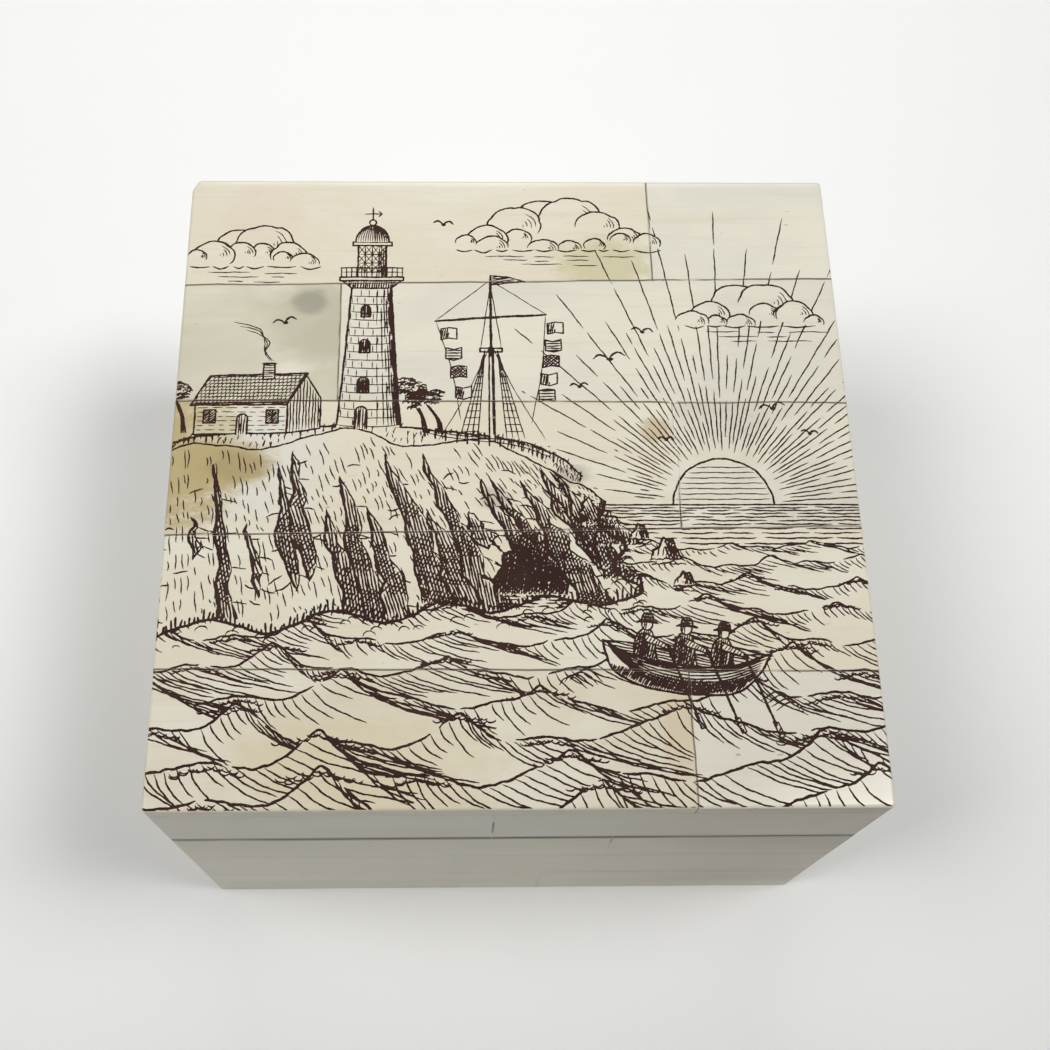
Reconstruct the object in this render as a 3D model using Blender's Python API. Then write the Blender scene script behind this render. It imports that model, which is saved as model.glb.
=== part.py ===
"""A square lidded box faced with bone plates.

Metres, +Z up. The origin is the middle of the underside, and the front faces -Y.
Left and right are as seen by someone who faces the side that is named.
"""

import math

import bmesh
import bpy
from mathutils import Vector

# Outside of the closed box
BOX_WIDTH = 0.096
BOX_DEPTH = 0.096
BASE_HEIGHT = 0.0466
LID_HEIGHT = 0.0196

# Bone, and the hairline gap that keeps every two pieces apart
TOP_PLATE_THICKNESS = 0.0032
SIDE_PLATE_THICKNESS = 0.0028
JOINT_GAP = 0.0003

# Wooden carcass
BASE_WALL = 0.0052
BASE_FLOOR = 0.0045
LID_WALL = 0.0052
LID_BOARD = 0.0042
LIP_HEIGHT = 0.0030
LIP_THICKNESS = 0.0024
LIP_CLEARANCE = 0.0004

# Rounding of the outside edges
CORNER_RADIUS = 0.0006
# The lid's back left corner is cut off, in the top plate and in the edging below it
WORN_CUT_ALONG_BACK = 0.0009
WORN_CUT_ALONG_SIDE = 0.0018
WORN_EDGING = "lid_edging_back_right"
TOP_EDGE_RADIUS = 0.0005
SEAM_EDGE_RADIUS = 0.0003
FOOT_EDGE_RADIUS = 0.0005
ROUND_SEGMENTS = 4
FOOT_SEGMENTS = 2

# Joints between the rows on top of the lid, from the back, as shares of the depth: (left end, right end)
TOP_ROW_JOINTS = ((0.195, 0.181), (0.393, 0.397), (0.608, 0.596), (0.805, 0.812))
# The upright joint of each row, from the left, as a share of the width. None is a row in one piece
TOP_UPRIGHT_JOINTS = (0.719, 0.240, 0.7385, None, 0.735)

# Joints between the rows of the base, from the foot, as shares of its height
BASE_ROW_JOINTS = (0.350, 0.692)
# The upright joints of each side, from its left: the base's three rows from the top, then the lid's edging
SIDE_JOINTS = {
    "front": (0.643, 0.410, 0.555, 0.466),
    "right": (0.372, 0.618, 0.447, 0.581),
    "back": (0.548, 0.331, 0.664, 0.402),
    "left": (0.457, 0.702, 0.386, 0.527),
}

# Colours as linear red, green and blue
BONE_COLOUR = (0.730, 0.679, 0.546)
BONE_GREY_COLOUR = (0.600, 0.590, 0.500)
BONE_TAN_COLOUR = (0.640, 0.540, 0.370)
WOOD_COLOUR = (0.305, 0.150, 0.060)
BONE_ROUGHNESS = 0.28
WOOD_ROUGHNESS = 0.62

LOOK_OUT = 0.001
LEVEL_TOLERANCE = 0.00001

BOX_HEIGHT = BASE_HEIGHT + JOINT_GAP + LID_HEIGHT
LID_FOOT = BASE_HEIGHT + JOINT_GAP
EDGING_TOP = BOX_HEIGHT - TOP_PLATE_THICKNESS - JOINT_GAP
SKIN = SIDE_PLATE_THICKNESS + JOINT_GAP


def clear_scene():
    for thing in list(bpy.data.objects):
        bpy.data.objects.remove(thing, do_unlink=True)


def plain_material(name, colour, roughness):
    material = bpy.data.materials.new(name)
    material.use_nodes = True
    shader = material.node_tree.nodes["Principled BSDF"]
    shader.inputs["Base Color"].default_value = (*colour, 1.0)
    shader.inputs["Roughness"].default_value = roughness
    shader.inputs["Metallic"].default_value = 0.0
    return material


def add_object(name, bm, colour, roughness):
    """Turns the bmesh into an object, shaded smooth across its roundings."""
    bmesh.ops.recalc_face_normals(bm, faces=bm.faces)
    mesh = bpy.data.meshes.new(name)
    bm.to_mesh(mesh)
    bm.free()
    mesh.shade_smooth()
    mesh.set_sharp_from_angle(angle=math.radians(35))
    mesh.materials.append(plain_material(name, colour, roughness))
    thing = bpy.data.objects.new(name, mesh)
    bpy.context.scene.collection.objects.link(thing)
    return thing


def is_outside(x, y):
    return abs(x) > BOX_WIDTH / 2 or abs(y) > BOX_DEPTH / 2


def is_box_corner(edge):
    """True for an upright edge that lies on a corner of the box."""
    start, end = (vertex.co for vertex in edge.verts)
    upright = abs(start.z - end.z) > LEVEL_TOLERANCE
    on_side = abs(abs(start.x) - BOX_WIDTH / 2) < LEVEL_TOLERANCE
    on_front = abs(abs(start.y) - BOX_DEPTH / 2) < LEVEL_TOLERANCE
    return upright and on_side and on_front


def outer_rim(bm, level):
    """The edges at one level that belong to a face on the outside of the box."""
    rim = []
    for edge in bm.edges:
        if any(abs(vertex.co.z - level) > LEVEL_TOLERANCE for vertex in edge.verts):
            continue
        for face in edge.link_faces:
            seen_from = face.calc_center_median() + face.normal * LOOK_OUT
            if abs(face.normal.z) < 0.5 and is_outside(seen_from.x, seen_from.y):
                rim.append(edge)
                break
    return rim


def round_edges(bm, edges, radius, segments):
    bm.normal_update()
    if edges:
        bmesh.ops.bevel(
            bm, geom=edges, offset=radius, offset_type="OFFSET", segments=segments,
            profile=0.5, affect="EDGES", clamp_overlap=True,
        )


def cut_back_left(corners):
    """The corners of a plate in plan, anticlockwise, with the box's back left one cut off."""
    left, back = -BOX_WIDTH / 2, BOX_DEPTH / 2
    cut = []
    for x, y in corners:
        if x - left < LEVEL_TOLERANCE and back - y < LEVEL_TOLERANCE:
            cut += [(left + WORN_CUT_ALONG_BACK, back), (left, back - WORN_CUT_ALONG_SIDE)]
        else:
            cut.append((x, y))
    return cut


def bone_plate(name, corners, levels, foot_radius, top_radius, worn=False, colour=BONE_COLOUR):
    """One plate over four corners in plan, rounded only where it forms the outside of the box."""
    low, high = levels
    bm = bmesh.new()
    outline = cut_back_left(corners) if worn else corners
    foot = bm.faces.new([bm.verts.new((x, y, low)) for x, y in outline])
    raised = bmesh.ops.extrude_face_region(bm, geom=[foot])
    lifted = [item for item in raised["geom"] if isinstance(item, bmesh.types.BMVert)]
    bmesh.ops.translate(bm, verts=lifted, vec=Vector((0.0, 0.0, high - low)))
    bmesh.ops.recalc_face_normals(bm, faces=bm.faces)
    round_edges(bm, [edge for edge in bm.edges if is_box_corner(edge)], CORNER_RADIUS, ROUND_SEGMENTS)
    bm.normal_update()
    round_edges(bm, outer_rim(bm, high), top_radius, ROUND_SEGMENTS)
    bm.normal_update()
    round_edges(bm, outer_rim(bm, low), foot_radius, FOOT_SEGMENTS)
    return add_object(name, bm, colour, BONE_ROUGHNESS)


def split(start, end, share):
    """Two ranges that meet at a share of the way from start to end, with the joint's gap between them."""
    middle = start + (end - start) * share
    return (start, middle - JOINT_GAP / 2), (middle + JOINT_GAP / 2, end)


def top_row_line(row, x):
    """How far forward the joint behind a row lies at x. Row 0's line is the back edge of the lid."""
    edges = ((0.0, 0.0), *TOP_ROW_JOINTS, (1.0, 1.0))
    left_end, right_end = edges[row]
    share = left_end + (right_end - left_end) * (x / BOX_WIDTH + 0.5)
    return BOX_DEPTH * (0.5 - share)


def build_lid_top():
    """The plates on the lid, in rows from the back to the front."""
    colours = {(1, "left"): BONE_GREY_COLOUR, (2, "left"): BONE_TAN_COLOUR}
    levels = (BOX_HEIGHT - TOP_PLATE_THICKNESS, BOX_HEIGHT)
    last_row = len(TOP_UPRIGHT_JOINTS) - 1
    for row, joint in enumerate(TOP_UPRIGHT_JOINTS):
        if joint is None:
            stretches = {"": (-BOX_WIDTH / 2, BOX_WIDTH / 2)}
        else:
            left, right = split(-BOX_WIDTH / 2, BOX_WIDTH / 2, joint)
            stretches = {"left": left, "right": right}
        behind = JOINT_GAP / 2 if row > 0 else 0.0
        before = JOINT_GAP / 2 if row < last_row else 0.0
        for side, (x_left, x_right) in stretches.items():
            corners = (
                (x_left, top_row_line(row + 1, x_left) + before),
                (x_right, top_row_line(row + 1, x_right) + before),
                (x_right, top_row_line(row, x_right) - behind),
                (x_left, top_row_line(row, x_left) - behind),
            )
            name = "_".join(part for part in (f"lid_top_row{row + 1}", side) if part)
            bone_plate(
                name, corners, levels, 0.0, TOP_EDGE_RADIUS,
                worn=(row == 0 and side != "right"), colour=colours.get((row, side), BONE_COLOUR),
            )


def side_plan(side, start, end):
    """The plan of an upright plate on one side, between two distances from that side's left end.

    The front and back plates run the full width, and the left and right ones stand between them.
    """
    half_width = BOX_WIDTH / 2
    half_depth = BOX_DEPTH / 2
    thick = SIDE_PLATE_THICKNESS
    if side == "front":
        x0, x1 = start - half_width, end - half_width
        y0, y1 = -half_depth, thick - half_depth
    elif side == "back":
        x0, x1 = half_width - end, half_width - start
        y0, y1 = half_depth - thick, half_depth
    elif side == "right":
        x0, x1 = half_width - thick, half_width
        y0, y1 = start - half_depth, end - half_depth
    else:
        x0, x1 = -half_width, thick - half_width
        y0, y1 = half_depth - end, half_depth - start
    return (x0, y0), (x1, y0), (x1, y1), (x0, y1)


def build_side_row(stem, side, joint, levels, foot_radius, top_radius):
    """The two plates of one row on one side."""
    if side in ("front", "back"):
        start, end = 0.0, BOX_WIDTH
    else:
        start, end = SKIN, BOX_DEPTH - SKIN
    for half, (near, far) in zip(("left", "right"), split(start, end, joint)):
        name = f"{stem}_{half}"
        plan = side_plan(side, near, far)
        bone_plate(name, plan, levels, foot_radius, top_radius, worn=(name == WORN_EDGING))


def build_sides():
    """The edging of the lid and the three rows of the base, all the way round."""
    lower, upper = (BASE_HEIGHT * share for share in BASE_ROW_JOINTS)
    half_gap = JOINT_GAP / 2
    rows = (
        ((upper + half_gap, BASE_HEIGHT), 0.0, SEAM_EDGE_RADIUS),
        ((lower + half_gap, upper - half_gap), 0.0, 0.0),
        ((0.0, lower - half_gap), FOOT_EDGE_RADIUS, 0.0),
    )
    edging = (LID_FOOT, EDGING_TOP)
    for side, joints in SIDE_JOINTS.items():
        stem = f"lid_edging_{side}"
        build_side_row(stem, side, joints[3], edging, SEAM_EDGE_RADIUS, 0.0)
        for number, (levels, foot_radius, top_radius) in enumerate(rows):
            stem = f"base_{side}_row{number + 1}"
            build_side_row(stem, side, joints[number], levels, foot_radius, top_radius)


def square_shell(name, profile):
    """A hollow square piece. The profile is a row of (distance in from the outside of the box, height),
    from the middle of its outer face, round its open rim, to the middle of its inner face."""
    bm = bmesh.new()
    rings = []
    for inset, height in profile:
        half_width = BOX_WIDTH / 2 - inset
        half_depth = BOX_DEPTH / 2 - inset
        signs = ((-1, -1), (1, -1), (1, 1), (-1, 1))
        rings.append([bm.verts.new((sx * half_width, sy * half_depth, height)) for sx, sy in signs])
    bm.faces.new(rings[0])
    bm.faces.new(rings[-1])
    for ring, following in zip(rings, rings[1:]):
        for corner in range(4):
            beside = (corner + 1) % 4
            bm.faces.new((ring[corner], ring[beside], following[beside], following[corner]))
    return add_object(name, bm, WOOD_COLOUR, WOOD_ROUGHNESS)


def build_carcasses():
    """The wooden base and lid. The base's lip stands up inside the lid and keeps it from sliding."""
    inside = SKIN + BASE_WALL
    lip_outside = inside - LIP_THICKNESS
    square_shell(
        "base_carcass",
        (
            (SKIN, 0.0),
            (SKIN, BASE_HEIGHT),
            (lip_outside, BASE_HEIGHT),
            (lip_outside, BASE_HEIGHT + LIP_HEIGHT),
            (inside, BASE_HEIGHT + LIP_HEIGHT),
            (inside, BASE_FLOOR),
        ),
    )
    rebate_side = lip_outside - LIP_CLEARANCE
    rebate_top = BASE_HEIGHT + LIP_HEIGHT + LIP_CLEARANCE
    lid_inside = SKIN + LID_WALL
    square_shell(
        "lid_carcass",
        (
            (SKIN, EDGING_TOP),
            (SKIN, LID_FOOT),
            (rebate_side, LID_FOOT),
            (rebate_side, rebate_top),
            (lid_inside, rebate_top),
            (lid_inside, EDGING_TOP - LID_BOARD),
        ),
    )


clear_scene()
build_carcasses()
build_lid_top()
build_sides()
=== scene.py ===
"""Looks of the square bone box: the engraved lid, the bone plates, the glue lines, the wood and the studio.

The frame is in metres, +Z up, and the front faces -Y. The picture on the lid and the plates are worked out in
millimetres, and MM turns them into metres.
"""

import math
import random

import bmesh
import bpy
import numpy as np
from mathutils import Matrix, Quaternion, Vector
from mathutils.geometry import delaunay_2d_cdt


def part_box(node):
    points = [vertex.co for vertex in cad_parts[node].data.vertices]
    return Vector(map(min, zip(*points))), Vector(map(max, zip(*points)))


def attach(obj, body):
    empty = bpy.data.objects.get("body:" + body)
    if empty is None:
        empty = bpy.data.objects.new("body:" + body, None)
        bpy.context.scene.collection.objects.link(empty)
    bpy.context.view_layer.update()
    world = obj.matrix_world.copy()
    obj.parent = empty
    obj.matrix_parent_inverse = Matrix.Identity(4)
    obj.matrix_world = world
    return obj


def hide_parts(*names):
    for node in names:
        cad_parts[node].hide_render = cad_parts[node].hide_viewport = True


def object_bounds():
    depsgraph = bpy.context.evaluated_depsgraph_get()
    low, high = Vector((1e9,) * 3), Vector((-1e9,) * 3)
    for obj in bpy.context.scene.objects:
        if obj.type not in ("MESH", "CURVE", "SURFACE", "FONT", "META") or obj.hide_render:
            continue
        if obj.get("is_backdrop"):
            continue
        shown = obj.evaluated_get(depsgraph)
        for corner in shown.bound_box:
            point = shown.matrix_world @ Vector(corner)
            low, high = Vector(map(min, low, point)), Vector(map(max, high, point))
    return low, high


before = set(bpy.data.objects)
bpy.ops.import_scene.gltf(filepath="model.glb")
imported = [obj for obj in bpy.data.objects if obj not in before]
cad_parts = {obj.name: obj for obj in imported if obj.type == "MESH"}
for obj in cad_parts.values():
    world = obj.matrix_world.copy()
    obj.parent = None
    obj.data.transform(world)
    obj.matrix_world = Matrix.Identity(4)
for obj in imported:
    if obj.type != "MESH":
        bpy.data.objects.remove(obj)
cad_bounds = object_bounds()

MM = 0.001

# Levels of the box, in millimetres, from the frame
LID_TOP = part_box("lid_top_row4")[1].z / MM
PLATE_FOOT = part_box("lid_top_row4")[0].z / MM
EDGING_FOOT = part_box("lid_edging_front_left")[0].z / MM
EDGING_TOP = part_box("lid_edging_front_left")[1].z / MM
BASE_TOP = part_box("base_front_row1_left")[1].z / MM
HALF_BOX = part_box("lid_top_row4")[1].x / MM
JOINT_GAP = PLATE_FOOT - EDGING_TOP

# Roundings of the outside, in millimetres, as on the CAD plates
CORNER_RADIUS = 0.6
WORN_CUT_ALONG_BACK = 0.9
WORN_CUT_ALONG_SIDE = 1.8
WORN_CORNER_RADIUS = 1.0
TOP_EDGE_RADIUS = 0.5
SEAM_EDGE_RADIUS = 0.3
FOOT_EDGE_RADIUS = 0.5

# How near the outside counts as on it, in millimetres
ON_OUTSIDE = 0.02

# How many segments the roundings have, and the angle from which an edge is sharp
CORNER_SEGMENTS = 8
WORN_SEGMENTS = 6
EDGE_SEGMENTS = 4
SHARP_FROM = math.radians(30)

# The pen and the grid that the engraving is worked out on, in millimetres
PICTURE = 2 * HALF_BOX
FIELD_STEP = 0.06
FAR = 0.4
DAB_STEP = 0.06
PEN = 0.132
SHORTEST_STROKE = 0.02
THINNEST_STROKE = 0.035

# The cut surface: slope of a groove's sides, its greatest depth, and how near it comes to a plate's sides
GROOVE_SLOPE = 0.6
GROOVE_DEPTH = 0.09
CUT_FROM_JOINT = 0.008
CUT_FROM_EDGE = 0.16
CUT_KEEP_EVERY = 2
CUT_TOLERANCE = 0.010
CUT_LONGEST = 0.9
CENTRE_STEP = 0.42

# How far inside a cut a groove's bottom and the line to the next one lie, in shares of the stroke's radius
BOTTOM_INSIDE = 0.6
LINE_INSIDE = 0.35

# Insets of the rings that carry the flat top over the rounded edge, in millimetres, from the outside in
EDGE_ANGLES = (25, 36, 47, 58, 69, 80, 90)
EDGE_RINGS = tuple(TOP_EDGE_RADIUS * (1 - math.cos(math.radians(angle))) for angle in EDGE_ANGLES)
EDGE_START = EDGE_RINGS[0]
# The polish draws the flat top down a little near its edge, over rings of its own
POLISH_WIDTH = 6.0
POLISH_DROP = 0.10
EDGE_RINGS += (1.3, 2.1, 3.1, 4.4, POLISH_WIDTH)

# Glue in the joints, in millimetres
GLUE_CLEARANCE = 0.004
GLUE_RECESS = 0.02
GLUE_DEPTH = 0.5

# Painted shade and dirt at the seam between the base and the lid: its level and how far it reaches, in
# millimetres
SEAM_LEVEL = (BASE_TOP + EDGING_FOOT) / 2
SEAM_SHADE_AND_DIRT = 1.5

# The picture's own shapes and places, in millimetres on the lid
PICTURE_SEED = 11
HORIZON = -6.0
LAND_TOP = (
    (-50, 3.0), (-44, 4.6), (-37, 5.2), (-29, 6.0), (-20, 6.4), (-12, 5.6), (-4, 4.6), (2, 3.4), (6.5, 1.2),
    (9.5, -1.6),
)
CLIFF_FOOT = (
    (12.6, -5.5), (11.6, -9.0), (15.0, -12.2), (13.2, -15.5), (17.0, -18.6), (11.0, -20.6), (4.0, -19.4),
    (-3.0, -21.6), (-10.0, -20.2), (-17.0, -23.0), (-25.0, -21.4), (-33.0, -24.4), (-41.0, -22.6),
    (-50.0, -25.6),
)
GULLS = (
    (14, 17, 2.3, 8), (19, 21.5, 1.6, -6), (9.5, 12.5, 1.3, 4), (37, 9, 1.9, 10), (42, 5, 1.2, -8),
    (-33, 23, 1.7, 12), (-10, 40, 1.5, -5), (21.5, 4, 1.1, 0),
)

# Outlines of small things, in shares of their width and height
CAVE_MOUTH = (
    (-0.50, 0.0), (-0.54, 0.28), (-0.40, 0.46), (-0.38, 0.74), (-0.20, 0.82), (-0.10, 1.05), (0.08, 0.94),
    (0.20, 0.98), (0.28, 0.70), (0.40, 0.58), (0.42, 0.32), (0.52, 0.16), (0.5, 0.0),
)
ROCK = (
    (-0.5, 0.0), (-0.42, 0.38), (-0.2, 0.66), (-0.05, 1.0), (0.12, 0.82), (0.24, 0.9), (0.36, 0.5),
    (0.5, 0.0),
)

# Outlines of the gulls, the rowers and the rowing boat, in units of their size. A gull's strokes also have
# their width in pens and their wobble
GULL_STROKES = (
    (((-1.0, 0.1), (-0.62, 0.36), (-0.3, 0.26), (0, 0)), 1.15, 0.3),
    (((0, 0), (0.34, 0.3), (0.7, 0.38), (1.05, 0.06)), 1.15, 0.3),
    (((-0.12, 0.0), (0.08, -0.06), (0.26, -0.02)), 1.7, 0.2),
)
ROWER_COAT = (
    (-1.1, 0.0), (-1.3, 1.8), (-1.0, 3.1), (-0.4, 3.7), (0.35, 3.5), (0.7, 2.6), (0.9, 1.2), (1.1, 0.0),
)
ROWER_HAT = (
    (-1.15, 4.35), (-0.75, 4.6), (-0.6, 5.15), (-0.1, 5.4), (0.4, 5.1), (0.5, 4.6), (0.95, 4.4), (0.0, 4.45),
)
ROWER_ARM = ((-0.3, 3.2), (0.9, 2.75), (2.2, 2.15), (2.3, 1.75), (1.0, 2.1), (-0.2, 2.4))
BOAT_SHEER = ((-8.4, 2.0), (-6.0, 1.0), (-2.5, 0.35), (1.5, 0.3), (5.0, 0.9), (8.6, 2.5))
BOAT_KEEL = (
    (8.6, 2.5), (7.6, 0.4), (5.4, -1.9), (1.0, -2.6), (-3.6, -2.4), (-6.8, -1.2), (-8.0, 0.7), (-8.4, 2.0),
)
BOAT_FAR_SIDE = ((-8.4, 2.0), (-5.0, 2.0), (0.0, 1.55), (4.5, 1.9), (8.6, 2.5))
BOAT_BILGE = (
    (-7.6, -0.3), (-3, -0.9), (3, -1.0), (7.4, 0.2), (5.4, -1.9), (1.0, -2.6), (-3.6, -2.4), (-6.8, -1.2),
)
BOAT_RIPPLE = ((-1.6, -2.4), (-0.3, -1.4), (0.7, -1.5), (1.2, -2.3))


class Engraving:
    """Strokes of a graver on the lid, kept as the distance from the edge of the nearest cut."""

    def __init__(self, seed):
        self.count = int(PICTURE / FIELD_STEP) + 1
        self.field = np.full((self.count, self.count), FAR, np.float32)
        self.waiting = []
        self.paths = []
        self.chance = random.Random(seed)

    def settle(self):
        """Cuts the waiting strokes into the field."""
        if not self.waiting:
            return
        dabs = np.concatenate(self.waiting)
        self.waiting = []
        half = PICTURE / 2
        dabs = dabs[np.all(np.abs(dabs[:, :2]) < half + 0.5, axis=1)]
        if not len(dabs):
            return
        column = np.rint((dabs[:, 0] + half) / FIELD_STEP).astype(np.int64)
        row = np.rint((dabs[:, 1] + half) / FIELD_STEP).astype(np.int64)
        reach = int(math.ceil((float(dabs[:, 2].max()) + 2 * FIELD_STEP) / FIELD_STEP))
        for down in range(-reach, reach + 1):
            for across in range(-reach, reach + 1):
                i = column + across
                j = row + down
                valid = (i >= 0) & (i < self.count) & (j >= 0) & (j < self.count)
                x = i[valid] * FIELD_STEP - half - dabs[valid, 0]
                y = j[valid] * FIELD_STEP - half - dabs[valid, 1]
                edge = (np.hypot(x, y) - dabs[valid, 2]).astype(np.float32)
                np.minimum.at(self.field, (j[valid], i[valid]), edge)

    def clear(self, outline):
        """Takes what was cut so far out of a closed outline, for something that stands in front."""
        self.settle()
        half = PICTURE / 2
        outline = np.asarray(outline, float)
        low = np.floor((outline.min(axis=0) + half) / FIELD_STEP).astype(int).clip(0, self.count - 1)
        high = np.ceil((outline.max(axis=0) + half) / FIELD_STEP).astype(int).clip(0, self.count - 1)
        x = np.arange(low[0], high[0] + 1) * FIELD_STEP - half
        for j in range(low[1], high[1] + 1):
            y = j * FIELD_STEP - half
            crossings = row_crossings(outline, y)
            for start, end in zip(crossings[::2], crossings[1::2]):
                span = (x >= start) & (x <= end)
                self.field[j, low[0]:high[0] + 1][span] = FAR

    def stroke(self, points, width=1.0, wobble=1.0, taper=0.7, smooth=True):
        """One cut along the points. The width is in pens, and the hand shakes by the wobble."""
        line = along(curve(points) if smooth and len(points) > 2 else points, DAB_STEP)
        if len(line) < 2:
            return
        count = len(line)
        step = np.hypot(*(line[1:] - line[:-1]).T)
        travelled = np.concatenate(([0.0], np.cumsum(step)))
        total = travelled[-1]
        if total < SHORTEST_STROKE:
            return
        ahead = np.gradient(line, axis=0)
        ahead /= np.maximum(np.hypot(ahead[:, 0], ahead[:, 1])[:, None], 1e-9)
        aside = np.stack((-ahead[:, 1], ahead[:, 0]), axis=1)
        shake = np.zeros(count)
        press = np.ones(count)
        for wave, size in ((5.3, 0.055), (2.1, 0.03), (0.9, 0.012)):
            phase = self.chance.uniform(0, 2 * math.pi)
            shake += size * np.sin(travelled * 2 * math.pi / wave + phase)
            press += 0.09 * np.sin(travelled * 2 * math.pi / (wave * 0.8) + phase * 1.7)
        line = line + aside * (shake * wobble)[:, None]
        radius = PEN * width * press
        ends = np.minimum(travelled, total - travelled)
        tip = max(0.25, min(1.4, total * 0.25))
        radius = radius * (1 - taper + taper * np.clip(ends / tip, 0, 1) ** 0.6)
        self.waiting.append(np.column_stack((line, np.maximum(radius, THINNEST_STROKE))))
        self.paths.append((line, radius))

    def loop(self, points, **kinds):
        self.stroke([*points, points[0]], taper=0.0, **kinds)

    def solid(self, outline, cuts, width=1.0, wobble=0.4, smooth=False):
        """Something in front of what was cut so far, with its hatching and its edge.

        Each of the cuts is an angle, a gap, a width and how loose the hatching is.
        """
        self.clear(outline)
        for cut in cuts:
            self.hatch(outline, *cut)
        self.loop(outline, width=width, wobble=wobble, smooth=smooth)

    def pieces(self, start, end, length, gap, spread=1.0):
        """Where each piece of a broken line starts, and how long it is, from ranges of lengths and gaps."""
        where = start
        while where < end:
            piece = self.chance.uniform(*length)
            yield where, piece
            where += piece + self.chance.uniform(*gap) * spread

    def hatch(self, outline, angle, gap, width=0.8, loose=0.25, keep=1.0, wobble=0.7):
        """Near parallel cuts across a closed outline, at an angle in degrees, with a share of them kept."""
        turn = math.radians(angle)
        along_cut = np.array((math.cos(turn), math.sin(turn)))
        across = np.array((-math.sin(turn), math.cos(turn)))
        outline = np.asarray(outline, float)
        turned = np.column_stack((outline @ along_cut, outline @ across))
        level = turned[:, 1].min() + gap * self.chance.uniform(0.3, 0.9)
        while level < turned[:, 1].max():
            crossings = row_crossings(turned, level)
            for start, end in zip(crossings[::2], crossings[1::2]):
                if self.chance.random() > keep:
                    continue
                length = end - start
                start += min(loose * self.chance.uniform(0, 1), 0.3 * length)
                end -= min(loose * self.chance.uniform(0, 2.2), 0.45 * length)
                if end - start < 0.25:
                    continue
                places = np.linspace(start, end, max(2, int((end - start) / 1.5) + 1))
                self.stroke(places[:, None] * along_cut + level * across, width=width, wobble=wobble)
            level += gap * self.chance.uniform(0.8, 1.2)


def row_crossings(outline, y):
    """Where a closed outline crosses a level, from left to right."""
    x0, y0 = outline[:, 0], outline[:, 1]
    x1, y1 = np.roll(x0, -1), np.roll(y0, -1)
    hit = (y0 <= y) != (y1 <= y)
    x = x0[hit] + (y - y0[hit]) * (x1[hit] - x0[hit]) / (y1[hit] - y0[hit])
    return np.sort(x)


def curve(points, per_span=10):
    """A smooth curve through the points."""
    p = np.asarray(points, float)
    padded = np.vstack((2 * p[0] - p[1], p, 2 * p[-1] - p[-2]))
    t = np.linspace(0, 1, per_span, endpoint=False)[:, None]
    spans = []
    for k in range(len(p) - 1):
        a, b, c, d = padded[k:k + 4]
        square = (2 * a - 5 * b + 4 * c - d) * t**2
        cube = (3 * b - a - 3 * c + d) * t**3
        spans.append(0.5 * (2 * b + (c - a) * t + square + cube))
    spans.append(p[-1:])
    return np.vstack(spans)


def along(points, step):
    """Points at even steps along a line."""
    p = np.asarray(points, float)
    lengths = np.hypot(*(p[1:] - p[:-1]).T)
    travelled = np.concatenate(([0.0], np.cumsum(lengths)))
    count = max(2, int(travelled[-1] / step) + 1)
    places = np.linspace(0, travelled[-1], count)
    return np.column_stack((np.interp(places, travelled, p[:, 0]), np.interp(places, travelled, p[:, 1])))


def arc(cx, cy, rx, ry, start, end, count=12):
    """Points on part of an ellipse, with angles in degrees."""
    turn = np.radians(np.linspace(start, end, count))
    return np.column_stack((cx + rx * np.cos(turn), cy + ry * np.sin(turn)))


def mix(a, b, share):
    return np.asarray(a, float) * (1 - share) + np.asarray(b, float) * share


def rectangle(left, low, right, high):
    return [(left, low), (left, high), (right, high), (right, low)]


def arch(x, low, half, spring):
    """An opening with upright sides and a round head."""
    return [(x - half, low), (x - half, spring), *arc(x, spring, half, half, 180, 0, 8), (x + half, low)]


def placed(points, x, y, size, tilt):
    """The points of a small drawing, enlarged, turned by a tilt in degrees and moved to a place."""
    c, s = math.cos(math.radians(tilt)), math.sin(math.radians(tilt))
    px, py = np.asarray(points, float).T
    return np.column_stack((x + size * (c * px - s * py), y + size * (s * px + c * py)))


def sun_and_rays(ink, x, y, radius):
    """Half a sun on the horizon, with rays that fan out over the sky and fall short on the land's side."""
    for k in range(58):
        degrees = 3.5 + k * 3.0 + ink.chance.uniform(-0.5, 0.5)
        c, s = math.cos(math.radians(degrees)), math.sin(math.radians(degrees))
        reach = (52, 30, 40, 24)[k % 4] * ink.chance.uniform(0.85, 1.1)
        reach *= 1.0 - max(0.0, degrees - 112.0) / 105.0
        where = radius + (1.2, 2.4, 1.6, 3.4)[k % 4]
        while where < reach:
            piece = ink.chance.uniform(5, 13) * (0.7 + where / 40)
            end = min(where + piece, reach)
            ink.stroke(((x + c * where, y + s * where), (x + c * end, y + s * end)), width=0.78, wobble=0.6)
            where = end + ink.chance.uniform(0.5, 1.8)
    disc = arc(x, y, radius, radius, 0, 180, 24)
    ink.clear(np.vstack((disc, ((x - radius, y - 1), (x + radius, y - 1)))))
    ink.stroke(disc, width=1.15, taper=0.2)
    for k in range(1, 8):
        level = radius * k / 8.6
        half = math.sqrt(radius**2 - level**2) - 0.35
        ink.stroke(((x - half, y + level), (x + half, y + level)), width=0.65, wobble=0.7)


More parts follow.
